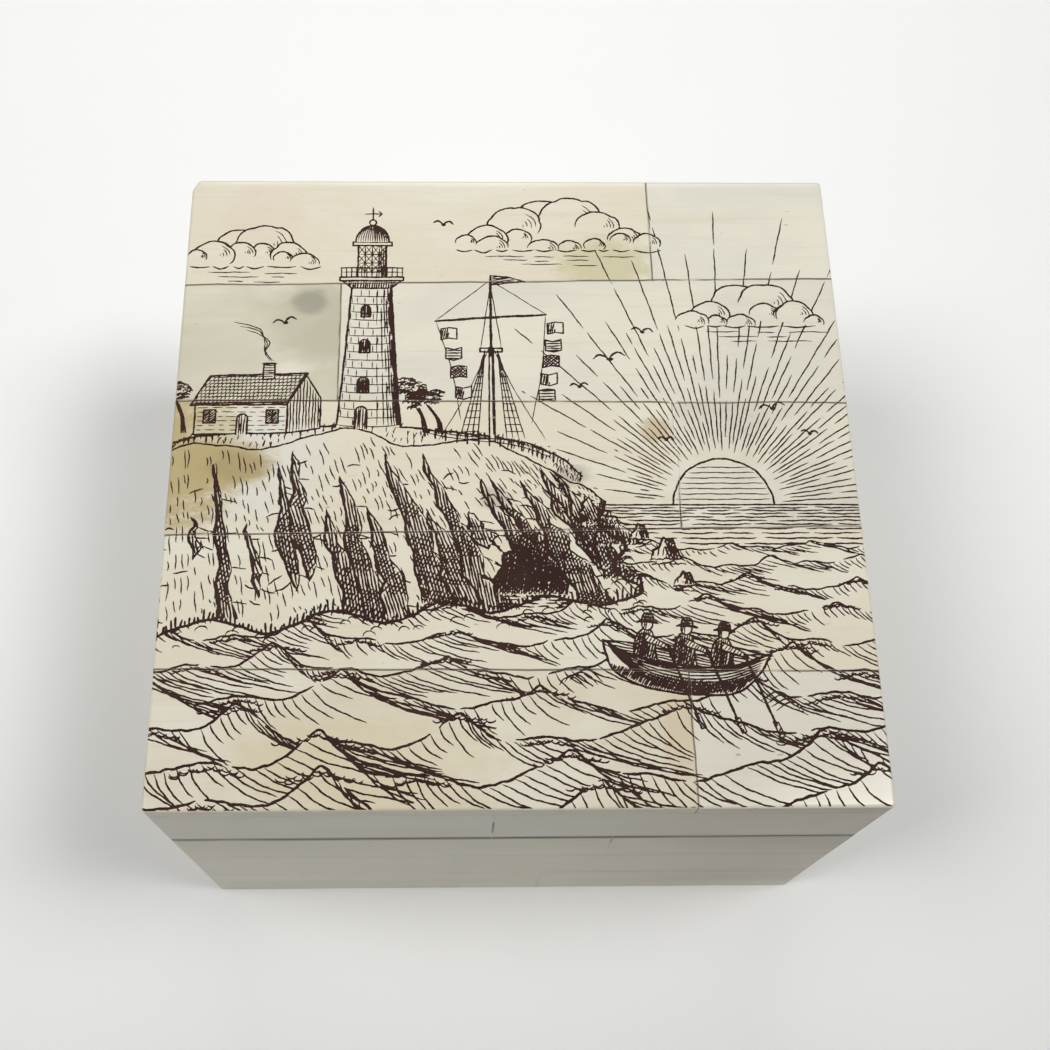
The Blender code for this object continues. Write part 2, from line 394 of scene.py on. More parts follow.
def cloud(ink, x, y, width, height, lumps):
    """A heap of cloud on a level foot: lobes from the back to the front, each hiding what is behind it."""
    lobes = []
    for k in range(lumps):
        share = (k + 0.5) / lumps
        rise = math.sin(math.pi * share)
        size = width / lumps * (0.50 + 0.42 * rise) * ink.chance.uniform(0.85, 1.2)
        lobes.append((x + (share - 0.5) * width * 0.92, y + height * rise**0.8 * 0.62, size))
    for k in range(lumps + 2):
        share = k / (lumps + 1)
        size = width / lumps * ink.chance.uniform(0.30, 0.62)
        lobes.append((x + (share - 0.5) * width, y + size * ink.chance.uniform(-0.1, 1.3), size))
    for cx, cy, size in sorted(lobes, key=lambda lobe: -lobe[1]):
        low = math.degrees(math.asin(max(-0.6, min(0.6, (y - cy) / (size * 0.8)))))
        edge = scalloped(ink, cx, cy, size, low)
        ink.clear(edge)
        opening = int(len(edge) * ink.chance.uniform(0.06, 0.16))
        ink.stroke(edge[opening // 2:len(edge) - opening], width=1.05, wobble=0.8)
        for inner in (0.80, 0.64, 0.48, 0.34):
            start = max(low, -14.0) + ink.chance.uniform(0, 14)
            shade = arc(cx, cy, size * inner, size * inner * 0.8, start, start + 78 * inner, 8)
            ink.stroke(shade, width=0.65, wobble=0.8)
    for where, piece in ink.pieces(x - width * 0.56, x + width * 0.5, (1.6, 5.2), (0.0, 0.7)):
        dip = ink.chance.uniform(0.15, 0.5)
        ink.stroke(((where, y), (where + piece / 2, y - dip), (where + piece, y)), width=0.95, wobble=0.6)
    for row in range(3):
        start, end = x - width * (0.40 - 0.1 * row), x + width * (0.34 - 0.1 * row)
        for where, piece in ink.pieces(start, end, (2.0, 6.5), (0.6, 2.6)):
            level = y - 1.1 - 0.75 * row + ink.chance.uniform(-0.12, 0.12)
            ink.stroke(((where, level), (where + piece, level)), width=0.66, wobble=0.7)


def scalloped(ink, cx, cy, size, low):
    """The edge of a lobe of cloud, in uneven scallops, from its right foot over its top to its left foot."""
    scallops = max(3, round(size * 1.1))
    span = (180 - 2 * low) / scallops
    edge = []
    turn = low
    for k in range(scallops):
        reach = size * ink.chance.uniform(0.93, 1.05)
        for step in np.linspace(0, 1, 6, endpoint=(k == scallops - 1)):
            bulge = reach * (1 + 0.10 * math.sin(math.pi * step) / math.sqrt(max(size, 1.0)))
            angle = math.radians(turn + span * step)
            edge.append((cx + bulge * math.cos(angle), cy + 0.8 * bulge * math.sin(angle)))
        turn += span
    return np.array(edge)


def far_sea(ink, low):
    """Level cuts under the horizon, close together far off and wider apart nearer."""
    ink.stroke(((5, HORIZON), (50, HORIZON)), width=0.95, wobble=0.35, taper=0.1)
    level = HORIZON - 0.42
    gap = 0.42
    while level > low:
        width = 0.85 if gap < 0.8 else 0.95
        start = -2 + ink.chance.uniform(-3, 3)
        for where, piece in ink.pieces(start, 49, (3.0, 13.0), (0.2, 1.4), 0.6 + gap):
            left = (where, level + ink.chance.uniform(-0.08, 0.08))
            ink.stroke((left, (where + piece * 0.5, level - 0.06), (where + piece, level)), width, wobble=0.9)
        level -= gap
        gap *= 1.085


def swell_line(level, height, length, phase):
    """One line of the swell from side to side, with peaks that lean to the left."""
    x = np.arange(-50, 50.01, 0.4)
    turn = 2 * math.pi * (x + phase) / length
    lean = turn + 0.55 * np.sin(turn)
    rise = (1 - np.abs(np.sin(lean / 2))) ** 1.15 * 2 - 0.9
    second = np.sin(2 * math.pi * (x + phase * 1.7) / (length * 0.43)) * 0.22
    slow = np.sin(2 * math.pi * (x - phase) / (length * 2.7)) * 0.5
    return np.column_stack((x, level + height * (rise + second + slow)))


def swell(ink, count, far, near):
    """Lines of swell from far to near, each with its face hatched down from the crest."""
    lines = []
    for k in range(count + 1):
        depth = (k / count) ** 1.25
        length = 11 + 25 * depth
        level = far + (near - far) * depth
        lines.append((swell_line(level, 0.5 + 2.3 * depth, length, ink.chance.uniform(0, length)), depth))
    for line, depth in lines:
        ink.clear(np.vstack((line, ((50, -50), (-50, -50)))))
        crest(ink, line, depth)
        face_of_swell(ink, line, depth)


def crest(ink, line, depth):
    """The edge of a swell: cuts with gaps in the troughs, and small curls of foam on the peaks."""
    where = 0
    while where < len(line) - 6:
        length = ink.chance.randint(14, 46)
        piece = line[where:where + length]
        if len(piece) > 3:
            ragged = piece + [(0.0, ink.chance.uniform(-0.09, 0.09)) for _ in piece]
            ink.stroke(ragged[::2], width=0.95 + 0.5 * depth, wobble=1.1, taper=0.5)
        where += length + ink.chance.randint(0, 3)
    if depth <= 0.12:
        return
    height = line[:, 1]
    slope = np.gradient(height, line[:, 0])
    for k in range(4, len(line) - 4):
        highest = height[k] > max(height[k - 3], height[k + 3])
        if highest and slope[k - 1] > 0 >= slope[k + 1]:
            curls(ink, line[k], 0.35 + 0.65 * depth)


def curls(ink, peak, size):
    """A broken crest: scallops that spill down the face on both sides of a peak."""
    for side, start, end in ((-1, -20, -160), (1, 200, 340)):
        x, y = peak[0], peak[1] - 0.2 * size
        for _ in range(ink.chance.randint(3, 5)):
            r = size * ink.chance.uniform(0.5, 0.9)
            x += side * r * 0.9
            y -= r * ink.chance.uniform(0.15, 0.55)
            ink.stroke(arc(x, y, r, r * 0.8, start, end, 7), width=0.85)
            x += side * r * 0.7


def face_of_swell(ink, line, depth):
    """Curved cuts that fall from the crest, in groups with bare water between them."""
    gap = 0.50 + 0.80 * depth
    fall = 1.4 + 6.6 * depth
    travelled = 0.0
    spare = 0.0
    run = ink.chance.uniform(4, 12)
    for k in range(1, len(line)):
        travelled += float(np.hypot(*(line[k] - line[k - 1])))
        if travelled < spare:
            continue
        spare = travelled + gap * ink.chance.uniform(0.8, 1.25)
        run -= gap
        if run < 0:
            spare += ink.chance.uniform(0.5, 1.7) * (0.4 + depth)
            run = ink.chance.uniform(4, 15) * (0.5 + depth)
        x, y = line[k]
        drop = fall * ink.chance.uniform(0.55, 1.15)
        lean = 1.5 + 1.0 * math.sin(x * 0.21 + depth * 9)
        points = [(x + 0.1, y - 0.15)]
        for share in (0.35, 0.7, 1.0):
            points.append((x + lean * drop * share**1.3, y - drop * share * (1 - 0.25 * share)))
        ink.stroke(points, width=0.72 + 0.25 * depth, wobble=1.0)


def headland(ink):
    """The land: a grassy top, and cliffs down to the water, lit from the left and dark in their clefts."""
    top = curve(LAND_TOP, 8)
    foot = curve(CLIFF_FOOT, 8)
    ink.clear(np.vstack((top, foot)))
    rim = [(x, y - 1.7 - 1.2 * math.sin(x * 0.31) + ink.chance.uniform(-0.5, 0.5)) for x, y in top[::6]]
    rim = curve([*rim, CLIFF_FOOT[0]], 6)
    rim_line, foot_line = along(rim, 0.25), along(foot[::-1], 0.25)
    lit_rock(ink, rim_line, foot_line)
    share = 0.012
    while share < 0.985:
        cleft(ink, rim_line, foot_line, share)
        share += ink.chance.uniform(0.036, 0.070) * (1.1 - 0.4 * share)
    ink.stroke(rim, width=1.0, wobble=1.3)
    for x, y in along(foot, 0.62)[2:-2]:
        tall = ink.chance.uniform(0.5, 1.9)
        lean = ink.chance.uniform(-0.2, 0.3)
        ink.stroke(((x, y + 0.05), (x + lean, y + tall)), width=1.2, wobble=0.5)
    ink.stroke(foot, width=1.5, taper=0.2, wobble=1.4)
    cave(ink, 2.0, -19.0, 9.5, 8.0)
    ink.stroke(top, width=1.2, taper=0.2)
    grass(ink, top, rim)


def fall_line(rim, foot, share, steps):
    """Points down the cliffs, at a share of the way along them."""
    a = rim[int(min(max(share, 0.0), 1.0) * (len(rim) - 1))]
    b = foot[int(min(max(share, 0.0), 1.0) * (len(foot) - 1))]
    return [mix(a, b, step) for step in steps]


def lit_rock(ink, rim, foot):
    """Short broken cuts down the face in the light, between ledges that run across it."""
    ledges = [0.0]
    while ledges[-1] < 0.94:
        ledges.append(ledges[-1] + ink.chance.uniform(0.07, 0.15))
    share = 0.004
    while share < 0.996:
        phase = 0.05 * math.sin(share * 41) + 0.03 * math.sin(share * 97)
        for start, end in zip(ledges, [*ledges[1:], 1.0]):
            begin = start + phase + ink.chance.uniform(0.0, 0.02)
            finish = begin + (end - start) * ink.chance.uniform(0.35, 0.85)
            if begin < 0.02 or finish > 1.0 or ink.chance.random() < 0.22:
                continue
            a, b = fall_line(rim, foot, share, (begin, finish))
            low = b + (ink.chance.uniform(-0.1, 0.35), 0.0)
            ink.stroke((a, mix(a, b, 0.5) + (0.12, 0.0), low), width=0.72)
        share += ink.chance.uniform(0.0085, 0.0135)
    for _ in range(46):
        share = ink.chance.uniform(0.02, 0.96)
        step = ink.chance.uniform(0.08, 0.92)
        far_share = share + ink.chance.uniform(0.014, 0.034)
        a, = fall_line(rim, foot, share, (step,))
        b, = fall_line(rim, foot, far_share, (step + ink.chance.uniform(-0.03, 0.03),))
        middle = mix(a, b, 0.45) + (0.0, ink.chance.uniform(-0.35, 0.35))
        ink.stroke((a, middle, b), width=0.9, wobble=1.2, smooth=False)


def cleft(ink, rim, foot, share):
    """A dark cleft that widens down the cliffs, closely cut, with a heavy broken edge towards the light."""
    start = ink.chance.choice((0.02, 0.05, 0.12, 0.25, 0.42))
    end = ink.chance.choice((1.0, 1.0, 1.0, 0.82, 0.66))
    widest = ink.chance.uniform(2.0, 5.0) * (0.7 + 0.5 * share)
    steps = np.linspace(start, end, 10)
    left, right = [], []
    sway = 0.0
    for middle, step in zip(fall_line(rim, foot, share, steps), steps):
        travelled = (step - start) / (end - start)
        wide = widest * travelled**0.75
        if end < 1.0:
            wide *= min(1.0, 3.0 * (1.0 - travelled))
        sway = 0.6 * sway + ink.chance.uniform(-0.55, 0.55)
        left.append(middle + (sway - wide * ink.chance.uniform(0.35, 0.6), 0.0))
        right.append(middle + (sway + wide * ink.chance.uniform(0.30, 0.75), ink.chance.uniform(-0.3, 0.3)))
    shape = np.array(left + right[::-1])
    ink.clear(shape)
    gap = 0.43 - 0.08 * share
    ink.hatch(shape, ink.chance.uniform(98, 112), gap, width=1.0, loose=0.4)
    for part in range(3, len(left) - 1):
        if ink.chance.random() < 0.72:
            facet = (left[part], left[part + 1], right[part + 1], right[part])
            ink.hatch(facet, ink.chance.uniform(40, 66), gap * 1.25, width=0.9, loose=0.1)
    ink.stroke(left, width=1.5, wobble=1.3, smooth=False)
    for part in range(0, len(right) - 1, 2):
        ink.stroke(right[part:part + 3], width=0.9, wobble=1.2, smooth=False)
    for corner in right[2::2]:
        reach = ink.chance.uniform(0.8, 2.2)
        ink.stroke((corner, corner + (reach, ink.chance.uniform(-0.7, 0.2))), width=0.8, wobble=1.2)


def cave(ink, x, y, width, height):
    """A sea cave in the foot of the cliffs, very dark, with broken stones round its mouth."""
    mouth = [(x + width * a, y + height * b + ink.chance.uniform(-0.25, 0.25)) for a, b in CAVE_MOUTH]
    ink.clear(mouth)
    ink.hatch(mouth, 82, 0.31, width=1.2, loose=0.15)
    ink.hatch(mouth, 44, 0.44, width=1.05, loose=0.15)
    ink.hatch(mouth, -50, 0.7, width=0.9, loose=0.3)
    ink.stroke(mouth, width=1.7, wobble=1.4, smooth=False)
    for ax, ay in mouth[1:-1]:
        out = np.array((ax - x, (ay - y) * 0.7))
        out /= max(np.hypot(*out), 0.1)
        for spread in (-0.35, 0.25):
            reach = out * ink.chance.uniform(0.9, 2.6) + (spread, -spread)
            ink.stroke(((ax, ay), np.array((ax, ay)) + reach), width=0.95, wobble=1.0)
    for row in range(4):
        half = width * (0.40 + 0.05 * row)
        for where, piece in ink.pieces(x - half, x + half - 0.5, (1.0, 3.4), (0.2, 0.9)):
            level = y - 0.35 - 0.5 * row + ink.chance.uniform(-0.08, 0.08)
            ink.stroke(((where, level), (min(where + piece, x + half), level)), width=0.85, wobble=0.8)


def rock(ink, x, y, width, height):
    """A low rock in the water, dark on its right."""
    outline = [(x + width * a, y + height * b * ink.chance.uniform(0.85, 1.15)) for a, b in ROCK]
    ink.clear(outline)
    dark = [(x, y), *outline[3:]]
    ink.hatch(dark, 108, 0.34, width=1.1, loose=0.1)
    ink.hatch(dark, 60, 0.5, width=0.9, loose=0.1)
    ink.hatch([*outline[:4], (x, y)], 75, 0.7, width=0.75, loose=0.5)
    ink.stroke(outline, width=1.25, smooth=False, wobble=1.0)
    for row in range(2):
        for side in range(-2, 3):
            r = width * 0.12 * ink.chance.uniform(0.8, 1.2)
            cx = x + side * width * 0.22 + 0.3 * row
            ink.stroke(arc(cx, y - 0.3 - 0.7 * row, r, r * 0.6, 20, 160, 6), width=0.85)


def tree(ink, x, y, height, lean):
    """A tree bent over by the wind, in clumps of small dark cuts."""
    bend = ((x, y), (x + 0.25 * lean, y + 0.35 * height), (x + lean, y + 0.72 * height))
    for offset in (-0.28, 0.0, 0.26):
        trunk = [(px + offset * (1 - k * 0.4), py) for k, (px, py) in enumerate(bend)]
        ink.stroke(trunk, width=1.1, wobble=0.6, taper=0.2)
    clumps = []
    for k in range(11):
        share = k / 10
        rise = 0.62 + 0.30 * math.sin(math.pi * (0.25 + 0.6 * share))
        cx = x + lean * (0.4 + 1.5 * share) + ink.chance.uniform(-0.5, 0.5)
        cy = y + height * rise + ink.chance.uniform(-0.6, 0.6)
        clumps.append((cx, cy, height * 0.15 * ink.chance.uniform(0.8, 1.25)))
    for cx, cy, size in sorted(clumps, key=lambda clump: -clump[1]):
        ink.clear(arc(cx, cy, size, size * 0.72, 0, 330, 12))
        for _ in range(26):
            turn = ink.chance.uniform(0, 2 * math.pi)
            reach = size * math.sqrt(ink.chance.random())
            px, py = cx + reach * math.cos(turn), cy + 0.72 * reach * math.sin(turn)
            r = ink.chance.uniform(0.22, 0.5)
            ink.stroke(arc(px, py, r, r * 0.7, 20, 200, 6), width=0.95 if py < cy else 0.7, wobble=0.3)


def grass(ink, top, rim):
    """Tufts over the top of the headland."""
    for _ in range(330):
        x, y = top[int(ink.chance.random() * (len(top) - 1))]
        edge = rim[int(np.argmin(np.abs(rim[:, 0] - x))), 1]
        base = y + (edge - y) * ink.chance.uniform(0.05, 0.95)
        lean = ink.chance.uniform(-0.25, 0.5)
        tip = (x + lean, base + ink.chance.uniform(0.5, 0.9))
        ink.stroke(((x, base), (x + lean * 0.4, base + 0.4), tip), width=0.62)


def surf(ink):
    """Broken water along the foot of the cliffs."""
    foot = curve(CLIFF_FOOT, 8)
    for row in range(3):
        where = 3
        while where < len(foot) - 4:
            x, y = foot[where]
            r = ink.chance.uniform(0.45, 0.95)
            drop = 0.5 + row * 0.95 + ink.chance.uniform(-0.2, 0.2)
            ink.stroke(arc(x + 0.15 * row, y - drop, r, r * 0.75, 10, 190, 8), width=0.9 - 0.12 * row)
            where += ink.chance.randint(2, 3) + row * 2


def tower(ink, x, foot, top, foot_half, top_half):
    """A lighthouse: a tapering tower in courses of stone, a gallery, and a lantern under a dome."""

    def half(level):
        share = (level - foot) / (top - foot)
        return foot_half + (top_half - foot_half) * share**0.8

    levels = np.linspace(foot, top, 24)
    left = [(x - half(v), v) for v in levels]
    right = [(x + half(v), v) for v in levels]
    ink.clear(left + right[::-1])
    ink.stroke(left, width=1.2, taper=0.1, wobble=0.5)
    ink.stroke(right, width=1.35, taper=0.1, wobble=0.5)
    level = foot + 0.5
    course = 0
    bricks = 7
    while level < top - 0.6:
        h = half(level)
        sag = 0.42 * h / foot_half
        ring = [(x + h * math.sin(t), level - sag * math.cos(t)) for t in np.linspace(-1.5, 1.5, 12)]
        ink.stroke(ring, width=0.62, wobble=0.4)
        for k in range(bricks):
            t = -1.35 + (k + 0.5 * (course % 2)) * 2.7 / (bricks - 0.5)
            bx = x + h * math.sin(t)
            by = level - sag * math.cos(t)
            if ink.chance.random() < 0.8:
                ink.stroke(((bx, by + 0.1), (bx, by + 1.15)), width=0.55, wobble=0.3)
        level += 1.32
        course += 1
    for k in range(9):
        t = 0.28 + 1.2 * (k / 8) ** 0.8
        rise = [(x + half(v) * math.sin(t) * 0.985, v) for v in np.linspace(foot + 0.3, top - 0.3, 30)]
        where = 0
        while where < len(rise) - 3:
            end = where + ink.chance.randint(4, 12)
            ink.stroke(rise[where:end + 1], width=0.55 + 0.09 * k, wobble=0.4)
            where = end + (1 if k > 3 else 2)
    for share, size in ((0.24, 1.0), (0.52, 0.9), (0.78, 0.8)):
        sill = foot + (top - foot) * share
        ink.solid(arch(x - 0.9 * size, sill, 0.85 * size, sill + 1.6 * size), ((90, 0.24, 1.0, 0.05),), 0.9)
    door(ink, x - 1.1, foot, 1.7, 3.3)
    gallery(ink, x, top, top_half)


def door(ink, x, y, width, height):
    opening = arch(x, y - 0.3, width / 2, y + height - width / 2)
    ink.clear(opening)
    ink.hatch(opening, 88, 0.33, width=0.9, loose=0.05)
    ink.stroke(opening, width=1.0, smooth=False, wobble=0.4, taper=0.1)


def gallery(ink, x, top, half):
    """The gallery on its corbel, its railing, the glazed lantern and the roof."""
    wide = half + 1.5
    corbel = [(x - half, top - 0.2), (x - wide, top + 1.1), (x + wide, top + 1.1), (x + half, top - 0.2)]
    ink.solid(corbel, ((84, 0.34, 0.9, 0.1),))
    ink.solid(rectangle(x - wide - 0.3, top + 1.1, x + wide + 0.3, top + 1.7), (), 1.05)
    lamp_half = half * 0.72
    lamp_foot, lamp_top = top + 1.7, top + 7.2
    ink.solid(rectangle(x - lamp_half, lamp_foot, x + lamp_half, lamp_top), (), 1.0, 0.3)
    panes = 4
    for k in range(1, panes):
        px = x - lamp_half + 2 * lamp_half * k / panes
        ink.stroke(((px, lamp_foot), (px, lamp_top)), width=0.75, wobble=0.3)
    for k in range(3):
        low, high = (lamp_foot + 0.9 + row * (lamp_top - lamp_foot - 0.9) / 3 for row in (k, k + 1))
        ink.stroke(((x - lamp_half, low), (x + lamp_half, low)), width=0.7, wobble=0.3)
        for j in range(panes):
            a = x - lamp_half + 2 * lamp_half * j / panes
            b = a + 2 * lamp_half / panes
            ink.stroke(((a, low), (b, high)), width=0.5, wobble=0.2)
            ink.stroke(((b, low), (a, high)), width=0.5, wobble=0.2)
    ink.hatch(rectangle(x + lamp_half * 0.45, lamp_foot, x + lamp_half, lamp_top), 90, 0.3, width=0.8)
    rail_top = top + 3.3
    ink.stroke(((x - wide - 0.2, rail_top), (x + wide + 0.2, rail_top)), width=0.9, wobble=0.4, taper=0.1)
    ink.stroke(((x - wide - 0.2, rail_top - 0.75), (x + wide + 0.2, rail_top - 0.75)), width=0.6, wobble=0.4)
    posts = 13
    for k in range(posts):
        px = x - wide - 0.1 + (2 * wide + 0.2) * k / (posts - 1)
        ink.stroke(((px, top + 1.7), (px, rail_top)), width=0.65, wobble=0.2, taper=0.1)
    eave = lamp_half + 0.8
    ink.solid(rectangle(x - eave, lamp_top, x + eave, lamp_top + 0.6), (), 1.0, 0.3)
    dome = arc(x, lamp_top + 0.6, eave * 0.86, 2.9, 180, 0, 20)
    ink.clear(dome)
    ink.stroke(dome, width=1.15, taper=0.1, wobble=0.4)
    for k in range(13):
        t = -0.86 + 1.72 * k / 12
        climb = np.linspace(0.02, 1.45, 9)
        rib = [(x + eave * 0.86 * t * math.cos(a), lamp_top + 0.6 + 2.9 * math.sin(a)) for a in climb]
        ink.stroke(rib, width=0.6 if t < 0.1 else 0.95, wobble=0.3)
    peak = lamp_top + 3.5
    ink.loop(arc(x, peak + 0.55, 0.5, 0.5, 0, 330, 12), width=1.0, wobble=0.2)
    ink.stroke(((x, peak + 1.0), (x, peak + 3.4)), width=0.95, wobble=0.3)
    ink.stroke(((x - 1.3, peak + 2.1), (x + 1.4, peak + 2.1)), width=0.8, wobble=0.3)
    for barb in (2.6, 1.6):
        ink.stroke(((x + 1.4, peak + 2.1), (x + 0.8, peak + barb)), width=0.8, wobble=0.2)


def cottage(ink, x, y, width, wall, roof):
    """The keeper's house, seen a little from its right end."""
    depth = width * 0.36
    front = [(x, y), (x, y + wall), (x + width, y + wall + 0.2), (x + width, y + 0.2)]
    end = [
        (x + width, y + 0.2), (x + width, y + wall + 0.2), (x + width + depth * 0.5, y + wall + roof + 0.3),
        (x + width + depth, y + wall + 0.9), (x + width + depth, y + 0.9),
    ]
    pitch = [
        (x - 0.7, y + wall - 0.3), (x + depth * 0.5 - 0.5, y + wall + roof),
        (x + width + depth * 0.5 + 0.4, y + wall + roof + 0.4), (x + width - 0.1, y + wall - 0.2),
    ]
    for shape in (front, end, pitch):
        ink.clear(shape)
    ink.hatch(end, 90, 0.42, width=0.8)
    for shape in (end, front):
        ink.loop(shape, width=1.0, smooth=False, wobble=0.5)
    for k in range(1, 7):
        level = y + wall * k / 7
        for where, piece in ink.pieces(x + 0.3, x + width - 0.5, (0.7, 2.0), (0.2, 0.7)):
            right = min(where + piece, x + width - 0.2)
            ink.stroke(((where, level), (right, level)), width=0.55, wobble=0.5)
    rows = 9
    tiles = 24
    for k in range(rows):
        share = (k + 0.5) / rows
        left, right = mix(pitch[0], pitch[1], share), mix(pitch[3], pitch[2], share)
        ink.stroke((left, right), width=0.65, wobble=0.5)
        if k == rows - 1:
            continue
        share += 1 / rows
        upper_left, upper_right = mix(pitch[0], pitch[1], share), mix(pitch[3], pitch[2], share)
        for j in range(tiles):
            s = (j + 0.5 * (k % 2)) / tiles
            ink.stroke((mix(left, right, s), mix(upper_left, upper_right, s)), width=0.55, wobble=0.2)
    ink.loop(pitch, width=1.15, smooth=False, wobble=0.5)
    low, high = y + wall * 0.36, y + wall * 0.78
    for k in range(3):
        wx = x + width * (0.16 + 0.34 * k)
        if k == 1:
            door(ink, wx + 0.2, y + 0.3, 1.5, 2.9)
            continue
        ink.solid(rectangle(wx - 0.85, low, wx + 0.85, high), ((45, 0.26, 0.8, 0.05),), 0.95, 0.3)
        ink.stroke(((wx, low), (wx, high)), width=0.7, wobble=0.2)
    cx, cy = x + width * 0.78, y + wall + roof + 0.1
    stack = [(cx - 0.8, cy - 0.7), (cx - 0.8, cy + 1.9), (cx + 0.8, cy + 1.9), (cx + 0.8, cy - 0.6)]
    ink.solid(stack, ((0, 0.36, 0.7, 0.1),), 1.0, 0.3)
    ink.stroke(((cx - 1.05, cy + 1.9), (cx + 1.05, cy + 1.9)), width=1.2, wobble=0.2)
    sy = cy + 2.3
    for k in range(3):
        puffs = [
            (cx + k * 0.3, sy), (cx - 0.7, sy + 1.5), (cx - 0.1 - k * 0.4, sy + 3.0),
            (cx - 1.8, sy + 4.4 + k * 0.5), (cx - 3.6 - k, sy + 5.2 + k * 0.6),
        ]
        ink.stroke(puffs, width=0.65, wobble=1.0)


def signal_mast(ink, x, foot, top):
    """A mast with a yard, shrouds with rungs, stays and strings of small flags."""
    cross = foot + (top - foot) * 0.52
    for side in (-1, 1):
        head = (x + side * 0.9, cross)
        for k in range(4):
            ink.stroke(((x + side * (4.6 - 0.85 * k), foot - 0.6), head), width=0.7, wobble=0.3)
        for k in range(1, 13):
            a = mix((x + side * 4.6, foot - 0.6), head, k / 13.0)
            b = mix((x + side * 2.05, foot - 0.6), head, k / 13.0)
            ink.stroke((a, b), width=0.55, wobble=0.3, taper=0.2)
    mast = [(x - 0.42, foot - 1.0), (x - 0.3, cross), (x + 0.3, cross), (x + 0.42, foot - 1.0)]
    ink.solid(mast, (), 0.95, 0.3)
    ink.stroke(((x + 0.18, foot), (x + 0.12, cross)), width=0.8, wobble=0.3)
    ink.stroke(((x - 0.02, cross - 1.0), (x, top)), width=1.5, wobble=0.4, taper=0.5)
    crosstrees = rectangle(x - 1.6, cross - 0.3, x + 1.6, cross + 0.3)
    ink.loop(crosstrees, width=1.0, smooth=False, wobble=0.2)
    yard = cross + (top - cross) * 0.42
    ends = ((x - 8.2, yard - 0.5), (x + 8.2, yard + 0.6))
    ink.stroke((ends[0], (x, yard + 0.15), ends[1]), width=1.5, wobble=0.4, taper=0.6)
    for end in ends:
        ink.stroke((end, (x, top - 0.8)), width=0.55, wobble=0.4)
    for side in (-1, 1):
        ink.stroke(((x + side * 1.5, cross + 0.3), (x, top - 1.6)), width=0.6, wobble=0.3)
        stay = ((x + side * 7.6, foot - 0.9), (x + side * 3.4, (foot + cross) / 2), (x, cross + 1.0))
        ink.stroke(stay, width=0.55, wobble=0.4)
    flags(ink, (x + 8.0, yard + 0.55), (x + 5.6, foot + 1.8), 5)
    flags(ink, (x - 8.0, yard - 0.5), (x - 4.4, foot + 2.2), 4)
    pennant = [(x, top), (x + 2.4, top - 0.2), (x + 5.2, top - 1.1), (x + 2.4, top - 1.3), (x, top - 1.6)]
    ink.hatch(pennant, 10, 0.3, width=0.8)
    ink.loop(pennant, width=0.9, smooth=False, wobble=0.6)


def flags(ink, top, low, count):
    """A halyard with small plain flags, each in its own pattern of hatching."""
    ink.stroke((top, mix(top, low, 0.5) + (0.5, 0), low), width=0.6, wobble=0.4)
    w, h = 2.3, 1.75
    for k in range(count):
        p = mix(top, low, 0.08 + 0.78 * k / count) + (0.45, 0)
        dip = 0.25 * (-1) ** k
        flag = [p, p + (w * 0.5, dip), p + (w, 0.1), p + (w, 0.1 - h), p + (w * 0.5, dip - h), p + (0, -h)]
        hoist = [flag[0], flag[1], flag[4], flag[5]]
        ink.clear(flag)
        patterns = (
            ((hoist, 80, 0.28, 0.9),), ((flag, 0, 0.42, 0.9),),
            ((flag, 42, 0.36, 0.8), (flag, -42, 0.36, 0.8)),
        )
        for shape, angle, gap, width in patterns[k % 3]:
            ink.hatch(shape, angle, gap, width, loose=0.02)
        ink.loop(flag, width=0.85, smooth=False, wobble=0.3)


def gull(ink, x, y, size, tilt):
    """A distant gull in two strokes and a short body."""
    for points, width, wobble in GULL_STROKES:
        ink.stroke(placed(points, x, y, size, tilt), width=width, wobble=wobble)


def fence(ink, points, count):
    line = along(curve(points), 0.1)
    posts = [line[int(k * (len(line) - 1) / (count - 1))] for k in range(count)]
    for x, y in posts:
        ink.stroke(((x, y), (x + 0.05, y + 1.5)), width=0.95, wobble=0.3, taper=0.1)
    for lift in (0.6, 1.15):
        ink.stroke([(x, y + lift) for x, y in posts], width=0.6, wobble=0.5)


def rower(ink, place, tilt):
    """One of the crew, leaning on an oar. The face is turned away under the hat."""
    coat, hat, arm = (place(points) for points in (ROWER_COAT, ROWER_HAT, ROWER_ARM))
    ink.clear(coat)
    ink.hatch(coat, 82 + tilt, 0.30, width=0.95, loose=0.05)
    ink.hatch(coat[[0, 1, 2, 3, -1]], 40 + tilt, 0.42, width=0.8, loose=0.1)
    ink.loop(coat, width=1.0, wobble=0.4)
    turns = np.linspace(0, 2 * math.pi, 12)
    head = place([(-0.15 + 0.56 * math.cos(a), 4.2 + 0.66 * math.sin(a)) for a in turns])
    ink.clear(head)
    ink.hatch(head[3:9], 80, 0.24, width=0.7, loose=0.05)
    ink.loop(head, width=0.85, wobble=0.2)
    ink.solid(hat, ((tilt, 0.22, 0.95, 0.02),), 0.95, 0.3, smooth=True)
    ink.solid(arm, ((60 + tilt, 0.4, 0.75, 0.05),), 0.9, 0.3, smooth=True)


